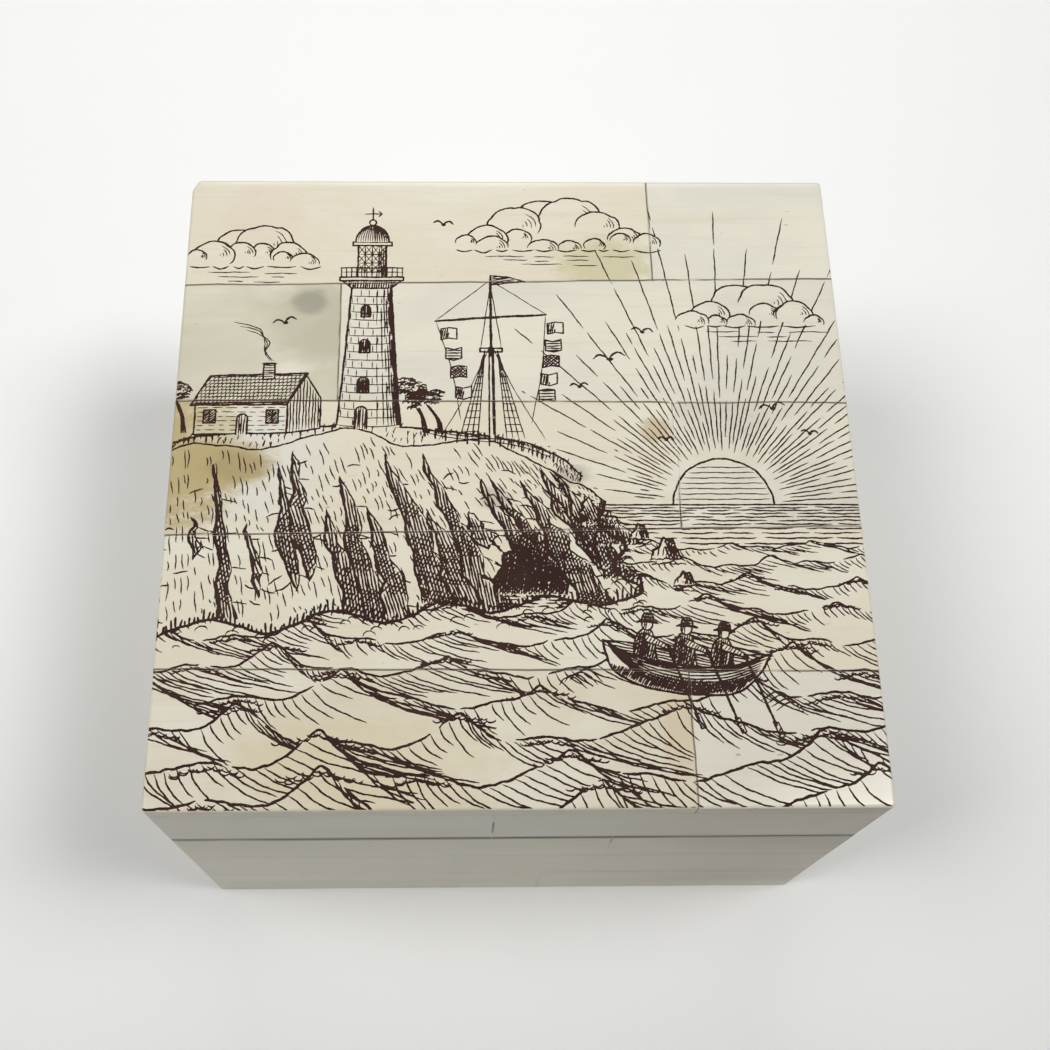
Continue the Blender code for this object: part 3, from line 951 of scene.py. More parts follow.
def rowing_boat(ink, x, y, size, tilt):
    """A rowing boat that rides over a wave, with its oars out and no one's likeness in it."""

    def place(points, seat=0.0):
        return placed([(seat + px, py) for px, py in points], x, y, size, tilt)

    sheer = curve(BOAT_SHEER, 6)
    rim = place(sheer)
    hull = np.vstack((rim, place(curve(BOAT_KEEL, 6))))
    well = np.vstack((rim, place(curve(BOAT_FAR_SIDE, 6)[::-1])))
    seats = (-3.9, 0.1, 3.9)
    ink.clear(well)
    ink.hatch(well, tilt - 6, 0.34, width=0.8)
    ink.stroke(place(BOAT_FAR_SIDE), width=0.9, wobble=0.4)
    for seat in seats:
        rower(ink, lambda points: place(points, seat), tilt)
    ink.clear(hull)
    for k in range(8):
        share = (k + 0.6) / 8
        plank = []
        for px, py in sheer:
            foot = min(-2.55 + 0.045 * (px - 0.6) ** 2, py - 0.1)
            plank.append((px * (1 - 0.1 * share), py + (foot - py) * share))
        ink.stroke(place(plank)[1:-1], width=0.75 + 0.35 * share, wobble=0.4)
    ink.hatch(place(BOAT_BILGE), 62 + tilt, 0.27, width=1.0, loose=0.1)
    ink.loop(hull, width=1.25, wobble=0.5)
    ink.stroke(rim + (0.0, -0.42), width=0.8, wobble=0.4)
    for seat in seats:
        a, b = place(((2.0, 2.2), (5.4, -4.6)), seat)
        ink.stroke((a, b), width=1.35, wobble=0.3, taper=0.1)
        blade = b + ((-0.3, 0.2), (0.35, 0.15), (1.1, -1.7), (0.5, -1.9))
        ink.hatch(blade, 60, 0.3, width=0.8)
        ink.loop(blade, width=0.8, smooth=False, wobble=0.2)
    for side, end in ((-1, -9.6), (1, 9.4)):
        for k in range(4):
            ripple = [(end + side * k * 0.5 + px * side, py - 0.3 * k) for px, py in BOAT_RIPPLE]
            ink.stroke(place(ripple), width=0.85, wobble=0.6)


def picture():
    ink = Engraving(PICTURE_SEED)
    sun_and_rays(ink, 29.0, HORIZON, 7.0)
    cloud(ink, 7.0, 35.5, 27.0, 9.0, 6)
    cloud(ink, 35.5, 22.5, 18.0, 6.5, 4)
    cloud(ink, -38.5, 32.5, 16.0, 6.5, 4)
    ink.clear([(-50, HORIZON), (50, HORIZON), (50, -50), (-50, -50)])
    far_sea(ink, -17)
    swell(ink, 9, -12.0, -46.0)
    headland(ink)
    surf(ink)
    for x, y, width, height in ((20.5, -14.0, 4.2, 3.2), (17.0, -11.0, 2.6, 2.2), (22.8, -17.8, 3.0, 1.9)):
        rock(ink, x, y, width, height)
    signal_mast(ink, -3.0, 4.8, 31.0)
    tree(ink, -12.4, 5.2, 8.2, -2.6)
    tree(ink, -10.2, 5.0, 6.4, -2.0)
    tree(ink, -46.4, 5.2, 7.6, -1.6)
    cottage(ink, -45.0, 4.9, 13.0, 4.9, 4.4)
    tower(ink, -20.5, 6.0, 29.0, 4.6, 2.9)
    fence(ink, ((-12.5, 4.6), (-8, 3.6), (0, 2.6), (5.5, 0.6)), 13)
    rowing_boat(ink, 22.0, -29.5, 1.32, -7.0)
    for x, y, size, tilt in GULLS:
        gull(ink, x, y, size, tilt)
    ink.settle()
    return ink


def side_line(start, end, outer):
    """A side with the plan on its left: its inward normal, its level and if it is the lid's edge."""
    ahead = np.subtract(end, start)
    normal = np.array((-ahead[1], ahead[0])) / np.hypot(*ahead)
    return normal, float(normal @ np.asarray(start)), outer


def meet(first, second, first_inset, second_inset):
    """Where two sides meet once each is drawn in by its inset."""
    normals = np.array((first[0], second[0]))
    return np.linalg.solve(normals, (first[1] + first_inset, second[1] + second_inset))


class Plan:
    """The outline of a plate on the lid. Only its outer sides, which form the lid's edge, are drawn in."""

    def __init__(self, corners, outer, worn=False):
        """The corners run anticlockwise from the front left one, and the sides from the front one."""
        self.corners = [np.asarray(corner, float) for corner in corners]
        self.sides = [side_line(self.corners[k], self.corners[(k + 1) % 4], outer[k]) for k in range(4)]
        self.low = np.min(self.corners, axis=0)
        self.high = np.max(self.corners, axis=0)
        self.rounded = {}
        self.cut = None
        for k in range(4):
            if not (outer[k - 1] and outer[k]):
                continue
            before, after = self.sides[k - 1], self.sides[k]
            if worn and k == 3:
                start = self.corners[k] + WORN_CUT_ALONG_BACK * np.array((1.0, 0.0))
                end = self.corners[k] - WORN_CUT_ALONG_SIDE * np.array((0.0, 1.0))
                self.cut = side_line(start, end, True)
                ends = ((before, self.cut), (self.cut, after))
                self.rounded[k] = [(*sides, WORN_CORNER_RADIUS) for sides in ends]
            else:
                self.rounded[k] = [(before, after, CORNER_RADIUS)]

    def drawn_in(self, side, inset):
        return inset if side[2] else 0.0

    def outline(self, inset):
        """Points round the plan, as many for every inset, and which of them lie on the lid's edge."""
        points = []
        on_edge = []
        for k in range(4):
            before, after = self.sides[k - 1], self.sides[k]
            if k in self.rounded:
                for first, second, radius in self.rounded[k]:
                    points += fillet(first, second, radius, inset)
            else:
                points.append(meet(before, after, self.drawn_in(before, inset), self.drawn_in(after, inset)))
            on_edge += [before[2] or after[2]] * (len(points) - len(on_edge))
            if not after[2]:
                beyond = self.sides[(k + 1) % 4]
                if before[2]:
                    points += [meet(before, after, ring, 0.0) for ring in EDGE_RINGS[1:]]
                if beyond[2]:
                    points += [meet(after, beyond, 0.0, ring) for ring in EDGE_RINGS[:0:-1]]
                on_edge += [False] * (len(points) - len(on_edge))
        return np.array(points), np.array(on_edge)

    def from_edge(self, x, y):
        """How far inside the lid's edge places are, in plan."""
        nearest = np.full(np.shape(x), 2.0 * HALF_BOX)
        for normal, level, outer in self.sides + ([self.cut] if self.cut else []):
            if outer:
                nearest = np.minimum(nearest, x * normal[0] + y * normal[1] - level)
        for arcs in self.rounded.values():
            for first, second, radius in arcs:
                centre = meet(first, second, radius, radius)
                dx, dy = x - centre[0], y - centre[1]
                past_first = dx * first[0][1] - dy * first[0][0] > 0
                before_second = dx * second[0][1] - dy * second[0][0] < 0
                radial = radius - np.hypot(dx, dy)
                nearest = np.where(past_first & before_second, np.minimum(nearest, radial), nearest)
        return nearest

    def from_joint(self, x, y):
        """How far inside the joints around the plate places are, in plan."""
        nearest = np.full(np.shape(x), 2.0 * HALF_BOX)
        for normal, level, outer in self.sides:
            if not outer:
                nearest = np.minimum(nearest, x * normal[0] + y * normal[1] - level)
        return nearest


def fillet(first, second, radius, inset, count=8):
    """An arc where two sides meet. Its middle stays where it is, whatever the inset."""
    if inset >= radius:
        return [meet(first, second, inset, inset)] * count
    centre = meet(first, second, radius, radius)
    start = math.atan2(-first[0][1], -first[0][0])
    end = math.atan2(-second[0][1], -second[0][0])
    turn = (end - start) % (2 * math.pi)
    angles = start + turn * np.linspace(0, 1, count)
    return list(centre + (radius - inset) * np.column_stack((np.cos(angles), np.sin(angles))))


def edge_drop(distance):
    """How far the lid's rounded and polished edge lies below its flat top, at a distance inside it."""
    across = TOP_EDGE_RADIUS - np.clip(distance, 0.0, TOP_EDGE_RADIUS)
    rounding = TOP_EDGE_RADIUS - np.sqrt(np.maximum(TOP_EDGE_RADIUS**2 - across**2, 0.0))
    polish = POLISH_DROP * (1 - np.clip(distance, 0.0, POLISH_WIDTH) / POLISH_WIDTH) ** 2
    return rounding * (1 - POLISH_DROP / TOP_EDGE_RADIUS) + polish


# The sides of a grid cell that a contour runs between, by which of its corners are cut, with the cut on its
# left. Corners count 1, 2, 4 and 8 from the bottom left, and sides 0 to 3 from the bottom one, both
# anticlockwise
CELL_STEPS = (
    (1, 0, 3), (2, 1, 0), (3, 1, 3), (4, 2, 1), (5, 0, 3), (5, 2, 1), (6, 2, 0), (7, 2, 3),
    (8, 3, 2), (9, 0, 2), (10, 1, 0), (10, 3, 2), (11, 1, 2), (12, 3, 1), (13, 0, 1), (14, 3, 0),
)


def contours(values, x0, y0):
    """Closed lines round the parts of a grid that lie below zero."""
    cut = values < 0
    rows, columns = values.shape
    size = rows * columns
    corner_sum = cut[:-1, :-1] * 1 + cut[:-1, 1:] * 2 + cut[1:, 1:] * 4 + cut[1:, :-1] * 8
    j, i = np.nonzero((corner_sum > 0) & (corner_sum < 15))
    kind = corner_sum[j, i]
    here = j * columns + i
    cell_sides = np.stack((here, size + here + 1, here + columns, size + here), axis=1)
    following = np.full(2 * size, -1, np.int64)
    for code, start, end in CELL_STEPS:
        chosen = kind == code
        following[cell_sides[chosen, start]] = cell_sides[chosen, end]
    crossed = np.nonzero(following >= 0)[0]
    upright = crossed >= size
    place = crossed - size * upright
    far_place = place + np.where(upright, columns, 1)
    flat = values.ravel()
    share = flat[place] / (flat[place] - flat[far_place])
    x = x0 + FIELD_STEP * (place % columns + np.where(upright, 0.0, share))
    y = y0 + FIELD_STEP * (place // columns + np.where(upright, share, 0.0))
    order = np.full(2 * size, -1, np.int64)
    order[crossed] = np.arange(len(crossed))
    steps = order[following[crossed]].tolist()
    loops = []
    for first in range(len(steps)):
        loop = []
        step = first
        while steps[step] >= 0:
            loop.append(step)
            steps[step], step = -1, steps[step]
        if len(loop) > 5:
            loops.append(np.column_stack((x[loop], y[loop])))
    return loops


def thinned(loop):
    """A closed line with fewer points, kept close to where it ran."""
    points = loop[::CUT_KEEP_EVERY].tolist()
    if len(points) < 4:
        return points
    points.append(points[0])
    kept = [points[0]]
    first = 0
    for last in range(2, len(points)):
        ax, ay = points[first]
        bx, by = points[last]
        dx, dy = bx - ax, by - ay
        length = math.hypot(dx, dy)
        worst = 0.0
        if length < CUT_LONGEST:
            for px, py in points[first + 1:last]:
                worst = max(worst, abs((px - ax) * dy - (py - ay) * dx))
        if length >= CUT_LONGEST or worst > CUT_TOLERANCE * max(length, FIELD_STEP):
            first = last - 1
            kept.append(points[first])
    return kept


class Surface:
    """The engraved top of one plate, as grid values: below zero where it is cut."""

    def __init__(self, ink, plan):
        column = int(math.floor((plan.low[0] + HALF_BOX) / FIELD_STEP)) - 1
        row = int(math.floor((plan.low[1] + HALF_BOX) / FIELD_STEP)) - 1
        far_column = int(math.ceil((plan.high[0] + HALF_BOX) / FIELD_STEP)) + 2
        far_row = int(math.ceil((plan.high[1] + HALF_BOX) / FIELD_STEP)) + 2
        self.x0 = column * FIELD_STEP - HALF_BOX
        self.y0 = row * FIELD_STEP - HALF_BOX
        rows = np.arange(row, far_row)
        columns = np.arange(column, far_column)
        inside = np.ix_(rows.clip(0, ink.count - 1), columns.clip(0, ink.count - 1))
        x, y = np.meshgrid(columns * FIELD_STEP - HALF_BOX, rows * FIELD_STEP - HALF_BOX)
        limits = np.maximum(CUT_FROM_EDGE - plan.from_edge(x, y), CUT_FROM_JOINT - plan.from_joint(x, y))
        self.values = np.maximum(ink.field[inside].astype(float), limits)

    def at(self, x, y):
        """The value at places between the grid's points."""
        i = ((np.asarray(x) - self.x0) / FIELD_STEP).clip(0, self.values.shape[1] - 1.001)
        j = ((np.asarray(y) - self.y0) / FIELD_STEP).clip(0, self.values.shape[0] - 1.001)
        i0, j0 = i.astype(int), j.astype(int)
        s, t = i - i0, j - j0
        v = self.values
        low = v[j0, i0] * (1 - s) + v[j0, i0 + 1] * s
        high = v[j0 + 1, i0] * (1 - s) + v[j0 + 1, i0 + 1] * s
        return low * (1 - t) + high * t


class Corners:
    """Points and the lines between them, gathered for one triangulation."""

    def __init__(self):
        self.points = []
        self.lines = []

    def add(self, points):
        """Adds points, and gives the number of the first one."""
        first = len(self.points)
        self.points += [Vector((float(x), float(y))) for x, y in points]
        return first

    def loop(self, points):
        """Adds points with a closed line through them."""
        first = self.add(points)
        last = first + len(points) - 1
        self.lines += [(k, k + 1) for k in range(first, last)]
        self.lines.append((last, first))

    def triangles(self):
        """The points, the triangles that turn anticlockwise, and where each gathered point went."""
        points, _, faces, sources, _, _ = delaunay_2d_cdt(self.points, self.lines, [], 1, 1e-6)
        place = np.full(len(self.points), -1)
        for number, source in enumerate(sources):
            for one in source:
                place[one] = number
        points = np.array([tuple(point) for point in points])
        faces = np.array(faces)
        a, b, c = (points[faces[:, k]] for k in range(3))
        turn = (b[:, 0] - a[:, 0]) * (c[:, 1] - a[:, 1]) - (b[:, 1] - a[:, 1]) * (c[:, 0] - a[:, 0])
        faces[turn < 0] = faces[turn < 0][:, ::-1]
        return points, faces, place


def centre_lines(ink):
    """Every stroke's middle at wide steps, as rows of x, y, radius and the stroke's number."""
    step = max(1, round(CENTRE_STEP / DAB_STEP))
    rows = []
    for number, (line, radius) in enumerate(ink.paths):
        picked = line[step // 2::step]
        rows.append(np.column_stack((picked, radius[step // 2::step], np.full(len(picked), number))))
    return np.concatenate(rows)


def add_centres(corners, surface, plan, middles):
    """The bottoms of the grooves, where they lie well inside a cut."""
    x, y, radius, number = middles.T
    near = (x > plan.low[0]) & (x < plan.high[0]) & (y > plan.low[1]) & (y < plan.high[1])
    index = np.nonzero(near)[0]
    deep = surface.at(x[index], y[index]) < -BOTTOM_INSIDE * radius[index]
    index = index[deep]
    if not len(index):
        return
    first = corners.add(zip(x[index], y[index]))
    joined = (np.diff(index) == 1) & (number[index[1:]] == number[index[:-1]])
    middle_x = (x[index[1:]] + x[index[:-1]]) / 2
    middle_y = (y[index[1:]] + y[index[:-1]]) / 2
    joined &= surface.at(middle_x, middle_y) < -LINE_INSIDE * radius[index[1:]]
    corners.lines += [(first + int(k), first + int(k) + 1) for k in np.nonzero(joined)[0]]


def engraved_solid(ink, plan, middles, top, foot):
    """A plate's points, the triangles of its top and which of them are cut, its walls and its foot."""
    surface = Surface(ink, plan)
    corners = Corners()
    outline, _ = plan.outline(EDGE_START)
    corners.loop(outline)
    for inset in EDGE_RINGS[1:]:
        ring, ring_on_edge = plan.outline(inset)
        add_ring(corners, ring, ring_on_edge)
    for loop in contours(surface.values, surface.x0, surface.y0):
        line = thinned(loop)
        if len(line) > 2:
            corners.loop(line)
    add_centres(corners, surface, plan, middles)
    flat, triangles, place = corners.triangles()

    middle = flat[triangles].mean(axis=1)
    cut_faces = surface.at(middle[:, 0], middle[:, 1]) < 0
    depth = np.clip(-GROOVE_SLOPE * surface.at(flat[:, 0], flat[:, 1]), 0.0, GROOVE_DEPTH)
    depth[np.unique(triangles[~cut_faces])] = 0.0
    height = top - edge_drop(plan.from_edge(flat[:, 0], flat[:, 1])) - depth
    points = [np.column_stack((flat, height))]
    count = len(outline)
    rim = place[:count]
    walls = []
    total = len(flat)
    for inset, level in ((EDGE_START / 4, None), (0.0, None), (0.0, foot)):
        ring, _ = plan.outline(inset)
        z = top - edge_drop(inset) if level is None else level
        points.append(np.column_stack((ring, np.full(count, z))))
        lower = np.arange(total, total + count)
        walls.append(np.column_stack((rim, lower, np.roll(lower, -1), np.roll(rim, -1))))
        rim = lower
        total += count
    return np.concatenate(points), triangles, cut_faces, np.concatenate(walls), rim[::-1]


def add_ring(corners, ring, on_edge):
    """The parts of a ring that follow the lid's edge."""
    first = corners.add(ring)
    both_on_edge = on_edge & np.roll(on_edge, -1)
    corners.lines += [(first + k, first + (k + 1) % len(ring)) for k in np.nonzero(both_on_edge)[0].tolist()]


def spread_out(points, triangles, cut_faces, walls, foot_face, plan, top, foot):
    """Where every face lies in the plate's baked picture: the bone, the cuts, the foot and the sides."""
    width, depth = plan.high - plan.low
    height = top - foot
    room = 0.8
    under_half = 0.49
    size = max(width + 2 * room, 1.5 * depth + 4 * height + 8 * room, 2 * depth + 3 * room)

    def laid(u, v, left, low, scale=1.0):
        return np.column_stack((left + room + scale * u, low + room + scale * v)) / size

    x, y, z = points[:, 0] - plan.low[0], points[:, 1] - plan.low[1], points[:, 2] - foot
    second_row = depth + room
    bone = laid(x, y, 0, 0)
    cuts = laid(x, y, 0, second_row, under_half)
    under = laid(x, y, width / 2, second_row, under_half)
    sides_row = second_row + depth / 2 + room
    fronts = laid(x, z, 0, sides_row)
    backs = laid(x, z, 0, sides_row + height + room)
    lefts = laid(y, z, 0, sides_row + 2 * (height + room))
    rights = laid(y, z, 0, sides_row + 3 * (height + room))
    top_places = np.where(np.repeat(cut_faces, 3)[:, None], cuts[triangles.ravel()], bone[triangles.ravel()])
    ahead = points[walls[:, 2]] - points[walls[:, 1]]
    wall_places = []
    for corners, (dx, dy, _) in zip(walls, ahead):
        if abs(dx) >= abs(dy):
            wall_places.append((fronts if dx > 0 else backs)[corners])
        else:
            wall_places.append((rights if dy > 0 else lefts)[corners])
    return np.concatenate((top_places, *wall_places, under[foot_face]))


def solid_mesh(name, solids, wall_slot=0):
    """One mesh from engraved solids. Its first material is on the top, and its second on the cuts."""
    points, faces, materials, places = [], [], [], []
    total = 0
    for part, plan, top, foot in solids:
        corners, triangles, cut_faces, walls, foot_face = part
        points.append(corners)
        faces += (triangles + total).tolist() + (walls + total).tolist() + [(foot_face + total).tolist()]
        upright = len(walls) // 3
        materials += cut_faces.astype(int).tolist()
        materials += [0] * (len(walls) - upright) + [wall_slot] * (upright + 1)
        places.append(spread_out(corners, triangles, cut_faces, walls, foot_face, plan, top, foot))
        total += len(corners)
    mesh = bpy.data.meshes.new(name)
    mesh.from_pydata((np.concatenate(points) * MM).tolist(), [], faces)
    mesh.polygons.foreach_set("material_index", np.array(materials, np.int32))
    if len(solids) == 1:
        layer = mesh.uv_layers.new(name="OFBake")
        layer.uv.foreach_set("vector", places[0].astype(np.float32).ravel())
    mesh.shade_smooth()
    mesh.set_sharp_from_angle(angle=SHARP_FROM)
    sharpen_between_materials(mesh)
    return mesh


def sharpen_between_materials(mesh):
    """Marks the edges between the bone and the cuts as sharp."""
    loop_edges = np.empty(len(mesh.loops), np.int32)
    mesh.loops.foreach_get("edge_index", loop_edges)
    loop_counts = np.empty(len(mesh.polygons), np.int32)
    mesh.polygons.foreach_get("loop_total", loop_counts)
    materials = np.empty(len(mesh.polygons), np.int32)
    mesh.polygons.foreach_get("material_index", materials)
    loop_materials = np.repeat(materials, loop_counts)
    cut = np.zeros(len(mesh.edges), bool)
    bone = np.zeros(len(mesh.edges), bool)
    cut[loop_edges[loop_materials == 1]] = True
    bone[loop_edges[loop_materials == 0]] = True
    sharp = mesh.attributes.get("sharp_edge") or mesh.attributes.new("sharp_edge", "BOOLEAN", "EDGE")
    marked = np.empty(len(mesh.edges), bool)
    sharp.data.foreach_get("value", marked)
    sharp.data.foreach_set("value", marked | (cut & bone))


def top_plate_plan(name):
    """The plan of a plate on the lid, from the foot of its CAD node."""
    corners = np.array([tuple(vertex.co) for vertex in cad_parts[name].data.vertices]) / MM
    x, y = corners[:, 0], corners[:, 1]
    left, right, front, back = x.min(), x.max(), y.min(), y.max()
    reach = HALF_BOX - ON_OUTSIDE
    outer = (front < -reach, right > reach, back > reach, left < -reach)

    def end(side_x, pick, on_outside, outside_y):
        return outside_y if on_outside else pick(y[np.abs(x - side_x) < ON_OUTSIDE])

    plan = (
        (left, end(left, np.min, outer[0], -HALF_BOX)), (right, end(right, np.min, outer[0], -HALF_BOX)),
        (right, end(right, np.max, outer[2], HALF_BOX)), (left, end(left, np.max, outer[2], HALF_BOX)),
    )
    return Plan(plan, outer, worn=outer[2] and outer[3])


def add_piece(name, mesh, materials, slot, *replaced):
    """A piece of the box that rides on its one body."""
    for material in materials:
        mesh.materials.append(material)
    thing = bpy.data.objects.new(name, mesh)
    bpy.context.scene.collection.objects.link(thing)
    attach(thing, "root")
    if replaced:
        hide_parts(*replaced)


def lid_rows():
    """The names of the plates on the lid, row by row from the back, and each row from the left."""
    rows = {}
    for name in sorted(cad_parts):
        if name.startswith("lid_top_row"):
            rows.setdefault(name.split("_")[2], []).append(name)
    return [rows[row] for row in sorted(rows)]


def add_lid_plates(ink, middles, plans):
    slots = {"lid_top_row2_left": "grey_bone", "lid_top_row3_left": "tan_bone"}
    for name, plan in plans.items():
        part = engraved_solid(ink, plan, middles, LID_TOP, PLATE_FOOT)
        mesh = solid_mesh(name + "_engraved", [(part, plan, LID_TOP, PLATE_FOOT)], wall_slot=2)
        materials = (lid_bone(name, plan), INK, side_bone("x", 0))
        add_piece(name + "_engraved", mesh, materials, slots.get(name, "bone"), name)


def add_lid_top_glue(ink, middles, plans):
    """The glue in the joints between the plates on the lid, cut across by the engraving as they are."""
    gap = GLUE_CLEARANCE
    edge = HALF_BOX - GLUE_RECESS
    strips = []
    rows = lid_rows()
    for behind, before in zip(rows, rows[1:]):
        corners = (
            (-edge, plans[before[0]].corners[3][1] + gap), (edge, plans[before[-1]].corners[2][1] + gap),
            (edge, plans[behind[-1]].corners[1][1] - gap), (-edge, plans[behind[0]].corners[0][1] - gap),
        )
        strips.append(Plan(corners, (False, True, False, True)))
    for row in rows:
        if len(row) < 2:
            continue
        left, right = plans[row[0]], plans[row[1]]
        front_outer, _, back_outer, _ = (side[2] for side in left.sides)
        corners = [
            (left.corners[1][0] + gap, left.corners[1][1]), (right.corners[0][0] - gap, right.corners[0][1]),
            (right.corners[3][0] - gap, right.corners[3][1]), (left.corners[2][0] + gap, left.corners[2][1]),
        ]
        if front_outer:
            corners[:2] = [(x, -edge) for x, _ in corners[:2]]
        if back_outer:
            corners[2:] = [(x, edge) for x, _ in corners[2:]]
        strips.append(Plan(corners, (front_outer, False, back_outer, False)))
    top = LID_TOP - GLUE_RECESS
    solids = [(engraved_solid(ink, plan, middles, top, PLATE_FOOT), plan, top, PLATE_FOOT) for plan in strips]
    mesh = solid_mesh("lid_top_glue_lines", solids)
    joints = [line for plan in plans.values() for line in joint_middles(plan)]
    shades = (colour(208, 200, 178), colour(194, 186, 166), colour(178, 169, 149))
    glue = glue_material("lid_glue", *shades, LID_GLUE_MARKS, joints)
    add_piece("lid_top_glue_lines", mesh, (glue, INK), "bone")


def add_glue_ring(bm, low, high, worn):
    """Glue all the way round the box between two levels."""
    half = HALF_BOX
    plan = Plan(((-half, -half), (half, -half), (half, half), (-half, half)), (True,) * 4, worn)
    loops = []
    for inset, level in ((GLUE_RECESS, low), (GLUE_RECESS, high), (GLUE_DEPTH, high), (GLUE_DEPTH, low)):
        outline, _ = plan.outline(inset)
        loops.append([bm.verts.new((x * MM, y * MM, level * MM)) for x, y in outline])
    for loop, beside in zip(loops, loops[1:] + loops[:1]):
        for k in range(len(loop)):
            n = (k + 1) % len(loop)
            bm.faces.new((loop[k], loop[n], beside[n], beside[k]))


def add_cuboid(bm, low, high):
    """A cuboid between two corners."""
    for vertex in bmesh.ops.create_cube(bm, size=1.0)["verts"]:
        vertex.co = [(a + b) / 2 + (b - a) * place for a, b, place in zip(low, high, vertex.co)]


def add_glue_between(bm, first, second):
    """Glue in the upright joint between two plates of one row."""
    lows, highs = [], []
    for axis in range(3):
        low = max(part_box(first)[0][axis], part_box(second)[0][axis]) / MM
        high = min(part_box(first)[1][axis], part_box(second)[1][axis]) / MM
        if low > high:
            low, high = high + GLUE_CLEARANCE, low - GLUE_CLEARANCE
        elif axis < 2:
            outside = HALF_BOX - GLUE_RECESS
            low, high = (outside - GLUE_DEPTH, outside) if high > 0 else (-outside, GLUE_DEPTH - outside)
        lows.append(low * MM)
        highs.append(high * MM)
    add_cuboid(bm, lows, highs)


def finish_plain(name, bm):
    bmesh.ops.recalc_face_normals(bm, faces=bm.faces)
    mesh = bpy.data.meshes.new(name)
    bm.to_mesh(mesh)
    bm.free()
    mesh.shade_smooth()
    mesh.set_sharp_from_angle(angle=SHARP_FROM)
    return mesh


SIDES = ("front", "right", "back", "left")


def add_side_glue(name, rows, rings):
    """The glue between the upright plates of some rows, and in the level joints above them."""
    bm = bmesh.new()
    for stem in rows:
        for number, side in enumerate(SIDES):
            following = SIDES[(number + 1) % 4]
            add_glue_between(bm, stem.format(side) + "_left", stem.format(side) + "_right")
            add_glue_between(bm, stem.format(side) + "_right", stem.format(following) + "_left")
    for low, high, worn in rings:
        add_glue_ring(bm, low + GLUE_CLEARANCE, high - GLUE_CLEARANCE, worn)
    add_piece(name, finish_plain(name, bm), (SIDE_GLUE,), "bone")


def is_box_corner(edge, half):
    start, end = (vertex.co for vertex in edge.verts)
    upright = abs(start.z - end.z) > half / 100
    return upright and min(abs(start.x), abs(start.y)) > half - ON_OUTSIDE * MM


def outer_rim(bm, level, half):
    """The edges at a level that lie on the outside of the box."""
    reach = ON_OUTSIDE * MM
    rim = []
    for edge in bm.edges:
        if any(abs(vertex.co.z - level) > reach for vertex in edge.verts):
            continue
        for face in edge.link_faces:
            look = face.calc_center_median() + face.normal * MM
            if abs(face.normal.z) < 0.5 and max(abs(look.x), abs(look.y)) > half:
                rim.append(edge)
                break
    return rim


def bevel(bm, edges, radius, segments):
    bm.normal_update()
    if edges:
        bmesh.ops.bevel(
            bm, geom=edges, offset=radius * MM, offset_type="OFFSET", segments=segments, profile=0.5,
            affect="EDGES", clamp_overlap=True,
        )
    bm.normal_update()


def is_over(vertex, x, y):
    return max(abs(vertex.co.x - x), abs(vertex.co.y - y)) < ON_OUTSIDE * MM


def cut_worn_corner(bm, corners, half):
    """Cuts the back left corner off, and rounds both ends of the cut."""
    back = WORN_CUT_ALONG_BACK * MM
    side = WORN_CUT_ALONG_SIDE * MM
    bevel(bm, corners, WORN_CUT_ALONG_BACK, 1)
    for vertex in bm.verts:
        if is_over(vertex, -half, half - back):
            vertex.co.y = half - side
    turn = math.atan2(side, back)
    for x, y, angle in ((back - half, half, turn), (-half, half - side, math.pi / 2 - turn)):
        ends = [edge for edge in bm.edges if all(is_over(vertex, x, y) for vertex in edge.verts)]
        bevel(bm, ends, WORN_CORNER_RADIUS * math.tan(angle / 2), WORN_SEGMENTS)


def add_side_plate(name):
    """An upright plate of bone, finely rounded where it forms the outside of the box."""
    low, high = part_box(name)
    half = HALF_BOX * MM
    bm = bmesh.new()
    add_cuboid(bm, low, high)
    corners = [edge for edge in bm.edges if is_box_corner(edge, half)]
    if name == "lid_edging_back_right":
        cut_worn_corner(bm, corners, half)
    else:
        bevel(bm, corners, CORNER_RADIUS, CORNER_SEGMENTS)
    roundings = (
        (low.z, EDGING_FOOT, SEAM_EDGE_RADIUS), (high.z, BASE_TOP, SEAM_EDGE_RADIUS),
        (low.z, 0.0, FOOT_EDGE_RADIUS),
    )
    for level, rounded_level, radius in roundings:
        if abs(level / MM - rounded_level) < ON_OUTSIDE:
            bevel(bm, outer_rim(bm, level, half), radius, EDGE_SEGMENTS)
    add_piece(name + "_finished", finish_plain(name, bm), (side_plate_bone(name),), "bone", name)


def colour(red, green, blue):
    """A colour from the 0 to 255 values that a screen shows, as the shader's linear values."""
    linear = []
    for value in (red, green, blue):
        share = value / 255
        linear.append(share / 12.92 if share <= 0.04045 else ((share + 0.055) / 1.055) ** 2.4)
    return (*linear, 1.0)


BONE_CREAM = colour(231, 222, 199)
# Clouding, warm streaks and grey streaks in the bone, on the lid and on the sides
LID_TINTS = (colour(235, 229, 211), colour(219, 209, 182), colour(201, 198, 183))
SIDE_TINTS = (colour(231, 225, 207), colour(221, 212, 189), colour(208, 203, 188))
INK_BROWN = colour(52, 29, 25)
JOINT_BROWN = colour(124, 112, 90)


